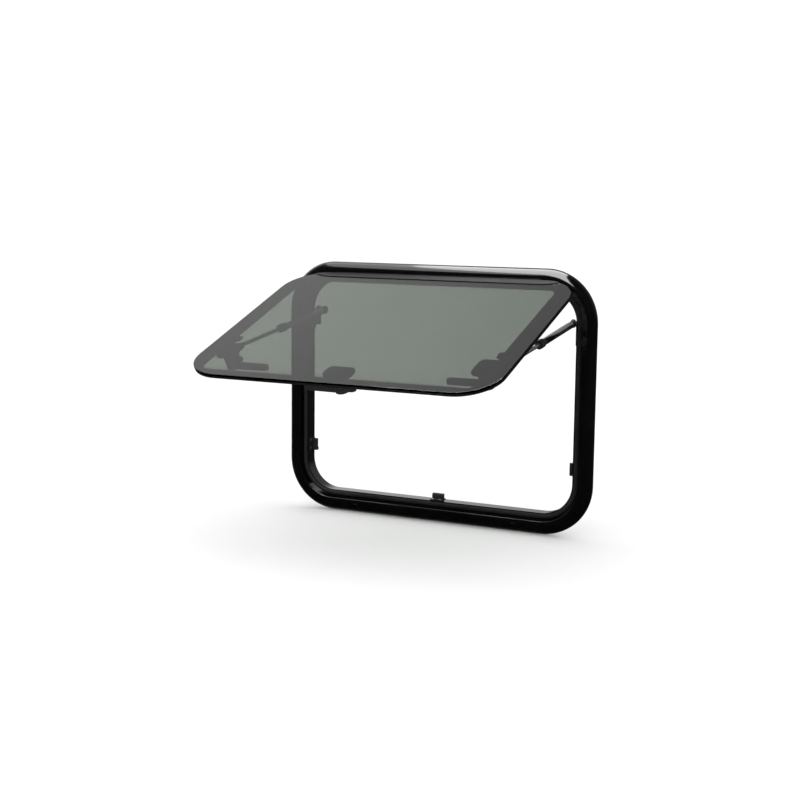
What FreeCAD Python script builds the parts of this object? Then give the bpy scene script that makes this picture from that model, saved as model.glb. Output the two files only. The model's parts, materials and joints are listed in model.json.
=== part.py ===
import FreeCAD, Part
import math
import os

# Top-hung awning window for a caravan wall: an aluminium frame ring, a tinted glass sash hinged at
# the head, two telescopic stays at the jambs and three lever latches with their keepers.
#
# Axes: +X along the head, +Z up, -Y to the outside. The origin is the centre of the opening on
# the wall's outer face, where the frame's flange rests. Millimetres.
#
# The sash and what it carries are drawn closed and then swung open about the hinge axis, because
# the window is stored open, with both stays fully drawn out.

V = FreeCAD.Vector
X_AXIS = V(1, 0, 0)
Y_AXIS = V(0, 1, 0)

# ---- driving dimensions -------------------------------------------------------------------------
FRAME_W = 650.0             # over the flange, along X
FRAME_H = 500.0             # over the flange, along Z
FRAME_CORNER_R = 100.0      # outer corner of the flange
FLANGE_LAP = 25.0           # how far the flange laps over the wall round the cut-out
CUTOUT_GAP = 1.5            # between the frame's web and the cut-out's edge
FRAME_DEPTH_IN = 22.0       # the inner wall reaches this far behind the wall's outer face
SIGHT_WIDTH = 40.0          # from the flange's edge to the clear opening
BEAD_HEIGHT = 14.5          # the bead's crest above the wall
BEAD_FLAT = 5.0             # width of the flat along that crest
BEAD_SHOULDER = (6.2, 3.4)  # a point of the bead's outer curve: in from the edge, down from the crest
BEAD_HOLLOW = (8.0, 4.9)    # and of the hollow's curve behind it
HOLLOW_START = 3.2
TAPE_SLOT = (9.0, 17.5)     # open back of the hollow, in from the flange's edge
FLANGE_EDGE = 3.0           # height of the flange's outer edge
METAL = 2.0                 # wall thickness of the frame's section
TAPE_THICK = 1.5            # sealing tape between flange and wall

SASH_GAP = 1.5              # round the closed sash, to the bead
GLASS_THICK = 4.0
SASH_PROUD = 0.5            # the closed glass stands this far out of the bead's crest
RIM_WIDTH = 13.4
RIM_THICK = 4.4
RIM_SETBACK = 0.6           # rim behind the glass's edge
RIM_BEVEL = 1.5
RIM_TAPE_IN = 2.0           # bond tape, in from the glass's edge
SEAL_WIDTH = 8.0            # bulb seal on the recess's floor
SEAL_IN = 2.0               # that seal's distance from the clear opening
BOND_THICK = 0.6            # tape between glass and rim

OPEN_ANGLE = 69.0           # degrees, the sash's travel
HINGE_IN = 2.9              # hinge axis behind the closed glass's outer face
HINGE_UP = 3.8              # and above its top edge
HINGE_CORE_R = 1.6
HINGE_CLEAR = 0.08          # radial, core in groove
HINGE_ARM = 1.2
HINGE_BLOCK_H = 7.0         # the grooved rail let into the bead, up from the bead's inner wall
HINGE_BLOCK_D = 6.5         # and down from its crest
HINGE_CAP = 3.0
HINGE_HALF_L = 215.0        # half the length of the hinge
HINGE_STRIP_W = 18.0        # how far the sash's hinge rail covers the glass
HINGE_STRIP_THICK = 1.2
WEB_THICK = 1.0             # of the hinge rail, over the glass's edge
EDGE_CLEAR = 0.2            # between that web and the glass's edge
STRIP_END_R = 85.0          # the rail's lower edge curves up to the glass's edge at this radius
MOUTH_MARGIN = 7.0          # degrees, free on each side of the arm at both ends of the travel

STAY_X = 266.0              # both stays' centre planes
STAY_FRAME_Y = 30.0         # pivot on the jamb
STAY_FRAME_Z = 148.0
STAY_SASH_V = 306.0         # pivot on the sash, down from the glass's top edge
STAY_SASH_DEPTH = 21.0      # and behind the glass's outer face
TUBE_R = 6.5
TUBE_WALL = 1.0
TUBE_LEN = 154.0
ROD_R = 3.5
ROD_INSIDE = 24.0           # rod left in the tube when the stay is drawn out
COLLAR_R = 8.3
COLLAR_LEN = 17.0
COLLAR_LAP = 0.6            # share of the collar that sits on the tube
COLLAR_EASE = 1.2
BUSH_LEN = 14.0
BUSH_END = 2.0              # the bush's closed end, past the rod's
EYE_R = 8.0
EYE_THICK = 6.0             # of the tube's eye, flat between its bosses
ROD_EYE_THICK = 9.0         # of the rod's eye, as thick as its round neck
EYE_REACH = 14.0            # from an eye's centre to the tube, or to the rod's bare length
EYE_PLUG = 10.0             # length of the eye's plug in the tube
PIN_R = 3.0
PIN_HEAD_R = 4.8
PIN_HEAD = 1.6
RUN_CLEAR = 0.05            # radial, a pin or a bush that moves
PRESS_CLEAR = 0.02          # radial, a pin that is pressed in
EAR_THICK = 3.0
OPEN_PIVOT_GAP = 0.4        # beside the rod's eye, at the pivot that the model leaves open
BRACKET_PLATE = 2.5
BRACKET_LEN = 40.0          # of the jamb bracket's plate, below the frame's corner
BRACKET_SCREW_IN = 8.0      # its screws, in from the plate's ends
BRACKET_SCREW_Y = 6.0
BRACKET_ARM = 10.0          # how far the cheek laps the plate
BOSS_R = 5.5
EAR_R = 8.0
SASH_FOOT_HALF_W = 12.0
SASH_FOOT_HALF_H = 9.0
SASH_FOOT_UP = 5.0          # middle of the sash bracket's foot above its pivot

LATCH_SIDE_V = 347.0        # hub of the side latches, down from the glass's top edge
LATCH_SIDE_X = 250.0
LATCH_SILL_V = 399.0        # hub of the latch at the sill
LATCH_SILL_X = 2.0
LATCH_BASE_W = 36.0
LATCH_BASE_L = 54.0
LATCH_BASE_THICK = 5.0
LATCH_BASE_CORNER = 12.0
LATCH_BASE_EASE = 1.5
PAD_INSET = 1.5             # a pad's edge inside its fitting's
PAD_THICK = 1.0             # bonding pad between a fitting and the glass
TOWER_FOOT_R = 16.0
TOWER_TOP_R = 13.0
LEVER_Y = 16.4              # lever's underside when shut, from the wall's outer face
LEVER_R = 12.0
LEVER_THICK = 9.0
HANDLE_DROP = 0.5           # the handle's back below the hub's
SCREW_CAP_R = 6.5           # the pivot screw's head
SCREW_CAP = 2.0
HANDLE_LEN = 74.0
HANDLE_W = 13.0
HANDLE_ROOT_W = 15.0
TONGUE_W = 13.0
TONGUE_THICK = 6.0
TONGUE_FLARE = 5.0          # wider at its root
WASHER_THICK = 0.8
LATCH_SCREW_R = 4.0         # shoulder of the pivot screw
LATCH_THREAD_R = 3.0
THREAD_TIP_Y = 1.0
BUTTON_R = 4.6
BUTTON_HEIGHT = 3.5
BUTTON_TRAVEL = 2.0
BUTTON_OFFSET = 27.0        # from the hub, out along the handle

KEEPER_LEN = 24.0
KEEPER_PROUD = 12.0
KEEPER_THICK = 6.0
KEEPER_FOOT = 1.5
KEEPER_FOOT_OUT = 10.0      # its foot, on the outer side of the ledge
KEEPER_SCREW_OUT = 5.5      # its screws, on that side too
KEEPER_SCREW_HALF = 8.0     # half their spacing
KEEPER_STOP = 5.0
KEEPER_RAMP = 2.5
TONGUE_LAP = 5.0            # how far a shut tongue reaches behind its keeper's ledge
LATCH_GAP = 0.4             # between a shut tongue and its keeper
SCREW_R = 1.5
SCREW_HEAD_R = 3.0
SCREW_HEAD = 1.2

WEEP_X = 170.0
WEEP_LEN = 10.0
WEEP_H = 4.0
WEEP_UP = 16.0              # from the flange's edge to the weep slot's middle
CLAMP_HOLE_R = 1.4          # pilot holes for the inner clamp ring's screws
CLAMP_HOLE_DEPTH = 9.0
CLAMP_HEAD_X = 200.0        # the holes' spacing from the middle, head and sill
CLAMP_JAMB_Z = 100.0        # and jambs
RIB_W = 8.0
RIB_H = 10.0
SPLICE_LEN = 120.0
SPLICE_X = -120.0           # middle of the splice, along the sill
SCREW_TIP = 2.5             # a small screw's tip beyond the wall that it holds in
BODY_GAP = 0.3              # least gap between pieces that move apart

# ---- derived places -----------------------------------------------------------------------------
HALF_W = FRAME_W / 2
HALF_H = FRAME_H / 2
BEAD_Y = -BEAD_HEIGHT
BEAD_INNER = FLANGE_LAP + 0.5                    # the bead's inner wall, from the flange's edge
FLOOR_Y = -TAPE_THICK - METAL                    # floor of the recess that the sash closes into
WEB = FLANGE_LAP + CUTOUT_GAP                    # the web that passes through the cut-out
OPENING_X = HALF_W - SIGHT_WIDTH                 # faces of the clear opening
OPENING_Z = HALF_H - SIGHT_WIDTH

SASH_HALF_W = HALF_W - BEAD_INNER - SASH_GAP
SASH_TOP = HALF_H - BEAD_INNER - SASH_GAP
SASH_BOTTOM = -(HALF_H - BEAD_INNER - SASH_GAP)
SASH_HALF_H = (SASH_TOP - SASH_BOTTOM) / 2
SASH_MID = (SASH_TOP + SASH_BOTTOM) / 2
SASH_CORNER_R = FRAME_CORNER_R - BEAD_INNER - SASH_GAP
GLASS_OUT = BEAD_Y - SASH_PROUD
GLASS_IN = GLASS_OUT + GLASS_THICK
RIM_OUT = GLASS_IN + BOND_THICK
RIM_IN = RIM_OUT + RIM_THICK

BEAD_CORNER_R = 1.5                              # rounding of the bead's inner crest
BLOCK_Z = HALF_H - BEAD_INNER                    # underside of the grooved hinge rail
HINGE_Z = SASH_TOP + HINGE_UP
HINGE_Y = GLASS_OUT + HINGE_IN
HINGE = V(0, HINGE_Y, HINGE_Z)
GROOVE_R = HINGE_CORE_R + HINGE_CLEAR
STRIP_Y = GLASS_OUT - HINGE_STRIP_THICK          # outer face of the sash's hinge rail
WEB_Z = SASH_TOP + EDGE_CLEAR                    # underside of its web over the glass's edge
ARM_FOOT = V(0, (STRIP_Y + GLASS_OUT) / 2, WEB_Z + WEB_THICK / 2)

BRACKET_TOP = HALF_H - FRAME_CORNER_R            # the jamb is straight below this
STAY_CLOSED = V(0, GLASS_OUT + STAY_SASH_DEPTH, SASH_TOP - STAY_SASH_V)
STAY_FRAME = V(0, STAY_FRAME_Y, STAY_FRAME_Z)

LATCH_TOP = LEVER_Y + LEVER_THICK
KEEPER_Y = LEVER_Y - LATCH_GAP                   # the ledge's inner face


# ---- building helpers ---------------------------------------------------------------------------
def outline(start, *steps):
    """Closed wire in a plane: a step is an end point, or a mid point and an end point of an arc."""
    edges = []
    here = start
    for step in steps:
        if len(step) == 1:
            edges.append(Part.LineSegment(here, step[0]).toShape())
        else:
            edges.append(Part.Arc(here, step[0], step[1]).toShape())
        here = step[-1]
    if (here - start).Length > 1e-6:
        edges.append(Part.LineSegment(here, start).toShape())
    return Part.Wire(edges)


def placed(steps, place):
    """Outline whose points, given as pairs, are carried into space by place()."""
    first = place(*steps[0][0])
    rest = [tuple(place(*point) for point in step) for step in steps[1:]]
    return Part.Face(outline(first, *rest))


def fused(shapes):
    """One clean solid from touching or crossing solids."""
    whole = shapes[0].multiFuse(shapes[1:])
    return whole.removeSplitter()


SIDES = ((V(1, 0, 0), V(0, 0, 1)), (V(0, 0, 1), V(-1, 0, 0)),
         (V(-1, 0, 0), V(0, 0, -1)), (V(0, 0, -1), V(1, 0, 0)))


def ring(section, half_w, half_h, corner_r, middle_z=0.0):
    """Section of (inset, y) points carried round a rectangle with round corners."""
    pieces = []
    for out, along in SIDES:
        reach = half_w if abs(out.x) > 0.5 else half_h
        run = (half_h if abs(out.x) > 0.5 else half_w) - corner_r
        centre = V(0, 0, middle_z)

        def at(end):
            return lambda inset, y: centre + out * (reach - inset) + along * (end * run) + Y_AXIS * y

        pieces.append(placed(section, at(-1)).extrude(along * (2 * run)))
        pivot = centre + out * (reach - corner_r) + along * run
        pieces.append(placed(section, at(1)).revolve(pivot, Y_AXIS, -90))
    return fused(pieces)


def rounded_plate(half_w, half_h, corner_r, y0, y1, middle_x=0.0, middle_z=0.0):
    """Plate in the XZ plane with round corners, from y0 to y1."""
    steps = []
    turn = corner_r * math.sqrt(0.5)
    middle = V(middle_x, y0, middle_z)
    for out, along in SIDES:
        reach = half_w if abs(out.x) > 0.5 else half_h
        run = (half_h if abs(out.x) > 0.5 else half_w) - corner_r
        pivot = middle + out * (reach - corner_r) + along * run
        steps.append((pivot + out * corner_r,))
        steps.append((pivot + (out + along) * turn, pivot + along * corner_r))
    start = middle + V(half_w, 0, corner_r - half_h)
    return Part.Face(outline(start, *steps)).extrude(Y_AXIS * (y1 - y0))


def bar(a, b):
    """Box between two opposite corners."""
    low = V(min(a.x, b.x), min(a.y, b.y), min(a.z, b.z))
    return Part.makeBox(abs(a.x - b.x), abs(a.y - b.y), abs(a.z - b.z), low)


def rod(radius, a, b):
    """Cylinder from point a to point b."""
    return Part.makeCylinder(radius, (b - a).Length, a, b - a)


def tapered(r_a, r_b, a, b):
    """Cone from point a to point b."""
    return Part.makeCone(r_a, r_b, (b - a).Length, a, b - a)


def eased(shape, size, pick):
    """Shape with the edges that pick() names rounded."""
    return shape.makeFillet(size, [edge for edge in shape.Edges if pick(edge)])


def opened(shape):
    """Sash piece swung from closed to the open rest pose."""
    swung = shape.copy()
    swung.rotate(HINGE, X_AXIS, -OPEN_ANGLE)
    return swung


def save(name, shape):
    """Writes one node."""
    if not shape.isValid() or shape.Volume <= 0:
        raise ValueError(name + " is not a valid solid")
    shape.exportStep("parts/" + name + ".step")
    print(name, len(shape.Solids), round(shape.Volume / 1000, 2), "cm3")


# ---- frame --------------------------------------------------------------------------------------
def frame_section():
    """Half-hollow section: bead, recess floor, inner wall with lip, and the clamp screws' rib."""
    crest = BEAD_INNER - BEAD_CORNER_R - BEAD_FLAT
    bulge = BEAD_CORNER_R * (1 - math.sqrt(0.5))
    slot_a, slot_b = TAPE_SLOT
    shoulder = (BEAD_SHOULDER[0], BEAD_Y + BEAD_SHOULDER[1])
    hollow = (BEAD_HOLLOW[0], BEAD_Y + BEAD_HOLLOW[1])
    return [((0, 0),), ((0, -FLANGE_EDGE),), (shoulder, (crest, BEAD_Y)),
            ((BEAD_INNER - BEAD_CORNER_R, BEAD_Y),),
            ((BEAD_INNER - bulge, BEAD_Y + bulge), (BEAD_INNER, BEAD_Y + BEAD_CORNER_R)),
            ((BEAD_INNER, FLOOR_Y),), ((SIGHT_WIDTH, FLOOR_Y),), ((SIGHT_WIDTH, FRAME_DEPTH_IN),),
            ((SIGHT_WIDTH - 3 * METAL, FRAME_DEPTH_IN),),
            ((SIGHT_WIDTH - 3 * METAL, FRAME_DEPTH_IN - METAL),),
            ((SIGHT_WIDTH - METAL, FRAME_DEPTH_IN - METAL),), ((SIGHT_WIDTH - METAL, FLOOR_Y + METAL),),
            ((WEB + RIB_W, FLOOR_Y + METAL),), ((WEB + RIB_W, RIB_H),), ((WEB, RIB_H),),
            ((WEB, -TAPE_THICK),), ((slot_b, -TAPE_THICK),), ((slot_b, FLOOR_Y),),
            ((BEAD_INNER - METAL, FLOOR_Y),), ((BEAD_INNER - METAL, BEAD_Y + METAL),),
            ((crest, BEAD_Y + METAL),), (hollow, (HOLLOW_START, FLOOR_Y)),
            ((slot_a, FLOOR_Y),), ((slot_a, -TAPE_THICK),), ((METAL, -TAPE_THICK),), ((METAL, 0),)]


def clamp_hole_places():
    """Pilot holes in the rib's face, as (x, z)."""
    inset = WEB + RIB_W / 2
    rows = [(x, side * (HALF_H - inset)) for side in (-1, 1) for x in (-CLAMP_HEAD_X, 0, CLAMP_HEAD_X)]
    jambs = [(side * (HALF_W - inset), z) for side in (-1, 1) for z in (-CLAMP_JAMB_Z, CLAMP_JAMB_Z)]
    return rows + jambs


def outer_frame():
    shape = ring(frame_section(), HALF_W, HALF_H, FRAME_CORNER_R)
    holes = [rod(CLAMP_HOLE_R, V(x, RIB_H + 1, z), V(x, RIB_H - CLAMP_HOLE_DEPTH, z))
             for x, z in clamp_hole_places()]
    places = [(V(side * OPENING_X, y, z), X_AXIS * side)
              for side in (-1, 1) for y, z in jamb_screw_places()]
    places += [(keeper_point(latch, 0, y, along), latch.to_keeper)
               for latch in LATCHES for y, along in keeper_screw_places()]
    holes += screw_holes(places, SCREW_R + PRESS_CLEAR, METAL + 1.0)
    notch = HINGE_HALF_L + HINGE_CAP
    holes.append(hinge_block(-notch, notch, 1.0))
    for side in (-1, 1):
        middle = WEEP_UP - HALF_H
        holes.append(rounded_plate(WEEP_LEN / 2, WEEP_H / 2, WEEP_H / 2 - 0.01, BEAD_Y - 1,
                                   BEAD_Y + 3 * METAL, side * WEEP_X, middle))
    return shape.cut(Part.makeCompound(holes))


def wall_seal_tape():
    section = [((METAL + 0.5, -TAPE_THICK),), ((METAL + 0.5, 0),), ((FLANGE_LAP - 0.5, 0),),
               ((FLANGE_LAP - 0.5, -TAPE_THICK),)]
    return ring(section, HALF_W, HALF_H, FRAME_CORNER_R)


def recess_seal():
    """Bulb seal on the recess's floor, at the height that the closed sash leaves it."""
    top = RIM_IN + BODY_GAP
    start = SIGHT_WIDTH - SEAL_IN - SEAL_WIDTH
    section = [((start, FLOOR_Y),), ((start + SEAL_WIDTH / 2, top), (start + SEAL_WIDTH, FLOOR_Y))]
    return ring(section, HALF_W, HALF_H, FRAME_CORNER_R)


def frame_splice_plate():
    """Plate in the sill's channel, between the rib and the inner wall."""
    inset_a = WEB + RIB_W + 0.4
    inset_b = SIGHT_WIDTH - METAL - 0.4
    return bar(V(SPLICE_X - SPLICE_LEN / 2, FLOOR_Y + METAL, inset_a - HALF_H),
               V(SPLICE_X + SPLICE_LEN / 2, FRAME_DEPTH_IN - METAL - 0.5, inset_b - HALF_H))


# ---- hinge --------------------------------------------------------------------------------------
def hinge_block(x0, x1, grow=0.0):
    """Bar in the bead's inner shoulder at the head."""
    return bar(V(x0, BEAD_Y - grow, BLOCK_Z - grow),
               V(x1, BEAD_Y + HINGE_BLOCK_D, BLOCK_Z + HINGE_BLOCK_H))


def hinge_mouth():
    """Wedge that the sash's arm sweeps, with a margin at both ends of the travel."""
    arm = ARM_FOOT - HINGE
    half_arm = math.degrees(math.asin(HINGE_ARM / 2 / GROOVE_R))
    first = math.radians(math.degrees(math.atan2(arm.z, arm.y)) + half_arm + MOUTH_MARGIN)
    last = first - math.radians(OPEN_ANGLE + 2 * (half_arm + MOUTH_MARGIN))
    reach = 2 * HINGE_BLOCK_H

    def on(angle):
        return HINGE + V(-HINGE_HALF_L - 1, reach * math.cos(angle), reach * math.sin(angle))

    centre = HINGE - X_AXIS * (HINGE_HALF_L + 1)
    wedge = Part.Face(outline(centre, (on(first),), (on((first + last) / 2), on(last))))
    return wedge.extrude(X_AXIS * (2 * HINGE_HALF_L + 2))


def hinge_line(radius, half_length):
    return rod(radius, HINGE - X_AXIS * half_length, HINGE + X_AXIS * half_length)


def hinge_frame_rail():
    """Grooved rail let into the head's bead: the groove wraps the sash's round core."""
    block = hinge_block(-HINGE_HALF_L, HINGE_HALF_L)
    return block.cut(hinge_line(GROOVE_R, HINGE_HALF_L + 1)).cut(hinge_mouth())


def hinge_end_cap(side):
    """Plug that closes one end of the grooved rail."""
    cap = hinge_block(side * HINGE_HALF_L, side * (HINGE_HALF_L + HINGE_CAP))
    return eased(cap, BEAD_CORNER_R, lambda edge: abs(edge.CenterOfMass.y - BEAD_Y) < 0.01
                 and abs(edge.CenterOfMass.z - BLOCK_Z) < 0.01)


def hinge_sash_rail():
    """Strip over the glass's top edge, a web over that edge, and an arm with the round core."""
    half = HINGE_HALF_L - BODY_GAP
    low = SASH_TOP - HINGE_STRIP_W
    rise = HINGE_STRIP_W - 2.5
    reach = math.sqrt(STRIP_END_R ** 2 - (STRIP_END_R - rise) ** 2)
    half_way = math.asin(reach / STRIP_END_R) / 2
    bend = (half + STRIP_END_R * math.sin(half_way), low + STRIP_END_R * (1 - math.cos(half_way)))
    end = (half + reach, low + rise)

    def at(x, z):
        return V(x, STRIP_Y, z)

    wire = outline(at(-half, low), (at(half, low),), (at(*bend), at(*end)), (at(end[0], SASH_TOP),),
                   (at(-end[0], SASH_TOP),), (at(-end[0], end[1]),),
                   (at(-bend[0], bend[1]), at(-half, low)))
    strip = Part.Face(wire).extrude(Y_AXIS * HINGE_STRIP_THICK)
    outside = rounded_plate(SASH_HALF_W, SASH_HALF_H, SASH_CORNER_R, STRIP_Y - 1, GLASS_IN, 0, SASH_MID)
    strip = strip.common(outside)
    lap = bar(V(-half, STRIP_Y, low + rise), V(half, GLASS_OUT, WEB_Z))
    web = bar(V(-half, STRIP_Y, WEB_Z), V(half, RIM_OUT, WEB_Z + WEB_THICK))
    along = ARM_FOOT - HINGE
    across = V(0, -along.z, along.y).normalize() * (HINGE_ARM / 2)
    start = V(-half, HINGE_Y, HINGE_Z)
    arm = Part.Face(outline(start + across, (start + along + across,), (start + along - across,),
                            (start - across,))).extrude(X_AXIS * (2 * half))
    return fused([hinge_line(HINGE_CORE_R, half), arm, strip, lap, web])


# ---- sash ---------------------------------------------------------------------------------------
def sash_glass():
    return rounded_plate(SASH_HALF_W, SASH_HALF_H, SASH_CORNER_R, GLASS_OUT, GLASS_IN, 0, SASH_MID)


def sash_rim():
    lip = RIM_BEVEL
    section = [((RIM_SETBACK, RIM_OUT),), ((RIM_SETBACK, RIM_IN - lip),),
               ((RIM_SETBACK + lip, RIM_IN),), ((RIM_WIDTH - lip, RIM_IN),),
               ((RIM_WIDTH, RIM_IN - lip),), ((RIM_WIDTH, RIM_OUT),)]
    return ring(section, SASH_HALF_W, SASH_HALF_H, SASH_CORNER_R, SASH_MID)


def rim_bond_tape():
    inner = RIM_WIDTH - RIM_BEVEL
    section = [((RIM_TAPE_IN, GLASS_IN),), ((RIM_TAPE_IN, RIM_OUT),), ((inner, RIM_OUT),),
               ((inner, GLASS_IN),)]
    return ring(section, SASH_HALF_W, SASH_HALF_H, SASH_CORNER_R, SASH_MID)


# ---- stays --------------------------------------------------------------------------------------
STAY_OPEN = HINGE + FreeCAD.Rotation(X_AXIS, -OPEN_ANGLE).multVec(STAY_CLOSED - HINGE)
STAY_VECTOR = STAY_OPEN - STAY_FRAME
STAY_LENGTH = STAY_VECTOR.Length
STAY_UNIT = V(STAY_VECTOR).normalize()
TUBE_START = EYE_REACH
TUBE_END = TUBE_START + TUBE_LEN


def on_stay(side, along, x=0.0):
    """Point on a stay's centre line, along millimetres from its jamb pivot."""
    return V(side * STAY_X + x, STAY_FRAME.y, STAY_FRAME.z) + STAY_UNIT * along


def eye_disc(centre, thick):
    """Disc across the stay, with eased rims."""
    half = X_AXIS * (thick / 2)
    disc = rod(EYE_R, centre - half, centre + half)
    return eased(disc, 1.0, lambda edge: abs(edge.Length - 2 * math.pi * EYE_R) < 0.1)


def cross_bore(centre, radius):
    return rod(radius, centre - X_AXIS * EYE_R, centre + X_AXIS * EYE_R)


def stay_end_eye(side):
    """Eye on the jamb pin, with a flat web and a plug that is pressed into the tube."""
    centre = on_stay(side, 0.0)
    across = X_AXIS * (EYE_THICK / 2)
    wide = V(0, -STAY_UNIT.z, STAY_UNIT.y) * (EYE_R - 2.5)
    near = centre + STAY_UNIT * (EYE_R - 4.0) - across
    far = centre + STAY_UNIT * TUBE_START - across
    web = Part.Face(outline(near + wide, (far + wide,), (far - wide,), (near - wide,)))
    web = web.extrude(across * 2)
    plug = rod(TUBE_R - TUBE_WALL - PRESS_CLEAR, on_stay(side, TUBE_START - 2.0),
               on_stay(side, TUBE_START + EYE_PLUG))
    bore = cross_bore(centre, PIN_R + RUN_CLEAR)
    return fused([eye_disc(centre, EYE_THICK), web, plug]).cut(bore)


def stay_tube(side):
    outer = rod(TUBE_R, on_stay(side, TUBE_START), on_stay(side, TUBE_END))
    inner = rod(TUBE_R - TUBE_WALL, on_stay(side, TUBE_START - 1), on_stay(side, TUBE_END + 1))
    return outer.cut(inner)


def stay_collar(side):
    """Black guide on the tube's mouth: over the tube behind, round the rod in front."""
    lap = COLLAR_LEN * COLLAR_LAP
    outer = rod(COLLAR_R, on_stay(side, TUBE_END - lap), on_stay(side, TUBE_END + COLLAR_LEN - lap))
    outer = eased(outer, COLLAR_EASE, lambda edge: abs(edge.Length - 2 * math.pi * COLLAR_R) < 0.1)
    seat = rod(TUBE_R + PRESS_CLEAR, on_stay(side, TUBE_END - lap - 1), on_stay(side, TUBE_END + 0.1))
    bore = rod(ROD_R + RUN_CLEAR, on_stay(side, TUBE_END - 1), on_stay(side, TUBE_END + COLLAR_LEN))
    return outer.cut(seat).cut(bore)


ROD_START = TUBE_END - ROD_INSIDE
ROD_SEAT_END = STAY_LENGTH - EYE_R - 2.0
ROD_END = ROD_SEAT_END - 0.1


def stay_rod(side):
    return rod(ROD_R, on_stay(side, ROD_START), on_stay(side, ROD_END))


def stay_friction_bush(side):
    """Bush on the rod's inner end, sliding in the tube."""
    start = ROD_START - BUSH_END
    bush = rod(TUBE_R - TUBE_WALL - RUN_CLEAR, on_stay(side, start), on_stay(side, start + BUSH_LEN))
    seat = rod(ROD_R + PRESS_CLEAR, on_stay(side, ROD_START), on_stay(side, start + BUSH_LEN + 1.0))
    return bush.cut(seat)


def stay_rod_eye(side):
    centre = on_stay(side, STAY_LENGTH)
    start = STAY_LENGTH - EYE_REACH - EYE_R
    neck = rod(ROD_EYE_THICK / 2, on_stay(side, start), on_stay(side, STAY_LENGTH - PIN_R - 2.0))
    seat = rod(ROD_R + PRESS_CLEAR, on_stay(side, ROD_START), on_stay(side, ROD_SEAT_END))
    bore = cross_bore(centre, PIN_R + PRESS_CLEAR)
    return fused([eye_disc(centre, ROD_EYE_THICK), neck]).cut(bore).cut(seat)


def stay_rod_pin(side):
    """Pin through the rod's eye, flush with the eye on the bracket's side."""
    outer = side * ROD_EYE_THICK / 2
    inner = -outer - side * PIN_HEAD
    shank = rod(PIN_R, on_stay(side, STAY_LENGTH, outer), on_stay(side, STAY_LENGTH, inner))
    head = rod(PIN_HEAD_R, on_stay(side, STAY_LENGTH, -outer), on_stay(side, STAY_LENGTH, inner))
    return fused([shank, head])


def jamb_screw_places():
    """Screws of a stay's jamb bracket, as (y, z)."""
    return [(BRACKET_SCREW_Y, BRACKET_TOP - down)
            for down in (BRACKET_SCREW_IN, BRACKET_LEN - BRACKET_SCREW_IN)]


def screw_holes(places, radius, depth):
    """Holes for small screws; a place is a point on a face and the direction into it."""
    return [rod(radius, point - into * 5.0, point + into * depth) for point, into in places]


def small_screw(point, into, grip):
    """Pan-head screw whose head rests at a point."""
    head = rod(SCREW_HEAD_R, point, point - into * SCREW_HEAD)
    shank = rod(SCREW_R, point, point + into * grip)
    return fused([head, shank])


def stay_frame_bracket(side):
    """Plate on the jamb, and a cheek that stands off the frame's corner and carries the pivot boss."""
    face = side * OPENING_X
    inward = face - side * BRACKET_PLATE
    cheek = inward - side * EAR_THICK
    plate = bar(V(face, 0.0, BRACKET_TOP - BRACKET_LEN), V(inward, FRAME_DEPTH_IN, BRACKET_TOP))
    arm_low = bar(V(inward, FRAME_DEPTH_IN - BRACKET_ARM, BRACKET_TOP - BRACKET_LEN + EAR_R),
                  V(cheek, STAY_FRAME_Y + EAR_R, STAY_FRAME_Z))
    head = rod(EAR_R, V(inward, STAY_FRAME_Y, STAY_FRAME_Z), V(cheek, STAY_FRAME_Y, STAY_FRAME_Z))
    boss_end = V(side * (STAY_X + EYE_THICK / 2 + BODY_GAP), STAY_FRAME_Y, STAY_FRAME_Z)
    boss = rod(BOSS_R, V(cheek, STAY_FRAME_Y, STAY_FRAME_Z), boss_end)
    bore = rod(PIN_R + PRESS_CLEAR, V(face, STAY_FRAME_Y, STAY_FRAME_Z),
               V(boss_end.x - side, STAY_FRAME_Y, STAY_FRAME_Z))
    places = [(V(inward, y, z), X_AXIS * side) for y, z in jamb_screw_places()]
    holes = screw_holes(places, SCREW_R + PRESS_CLEAR, BRACKET_PLATE + 1.0)
    return fused([plate, arm_low, head, boss]).cut(Part.makeCompound(holes + [bore]))


def stay_frame_pin(side):
    start = V(side * (OPENING_X - BRACKET_PLATE), STAY_FRAME_Y, STAY_FRAME_Z)
    inner = V(side * (STAY_X - EYE_THICK / 2 - BODY_GAP), STAY_FRAME_Y, STAY_FRAME_Z)
    return fused([rod(PIN_R, start, inner), rod(PIN_HEAD_R, inner, inner - X_AXIS * (side * PIN_HEAD))])


def stay_bracket_screws():
    grip = BRACKET_PLATE + METAL + SCREW_TIP
    return Part.makeCompound([small_screw(V(side * (OPENING_X - BRACKET_PLATE), y, z), X_AXIS * side, grip)
                              for side in (-1, 1) for y, z in jamb_screw_places()])


def sash_ear_x(side):
    """Inner face of the sash bracket's ear, beside the rod's eye."""
    return side * (STAY_X + ROD_EYE_THICK / 2 + OPEN_PIVOT_GAP)


def stay_sash_bracket(side):
    """Foot bonded to the glass and an ear beside the rod's eye."""
    base_y = GLASS_IN + PAD_THICK
    centre = V(side * STAY_X, STAY_CLOSED.y, STAY_CLOSED.z)
    ear_x = sash_ear_x(side)
    far_x = ear_x + side * EAR_THICK
    foot = rounded_plate(SASH_FOOT_HALF_W, SASH_FOOT_HALF_H, 4.0, base_y, base_y + BRACKET_PLATE,
                         side * STAY_X, centre.z + SASH_FOOT_UP)
    ear = bar(V(ear_x, base_y, centre.z - EAR_R + 1.0), V(far_x, centre.y, centre.z + EAR_R))
    head = rod(EAR_R, V(ear_x, centre.y, centre.z), V(far_x, centre.y, centre.z))
    hole = rod(PIN_R + PRESS_CLEAR, V(ear_x - side, centre.y, centre.z),
               V(far_x + side, centre.y, centre.z))
    return fused([foot, ear, head]).cut(hole)


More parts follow.
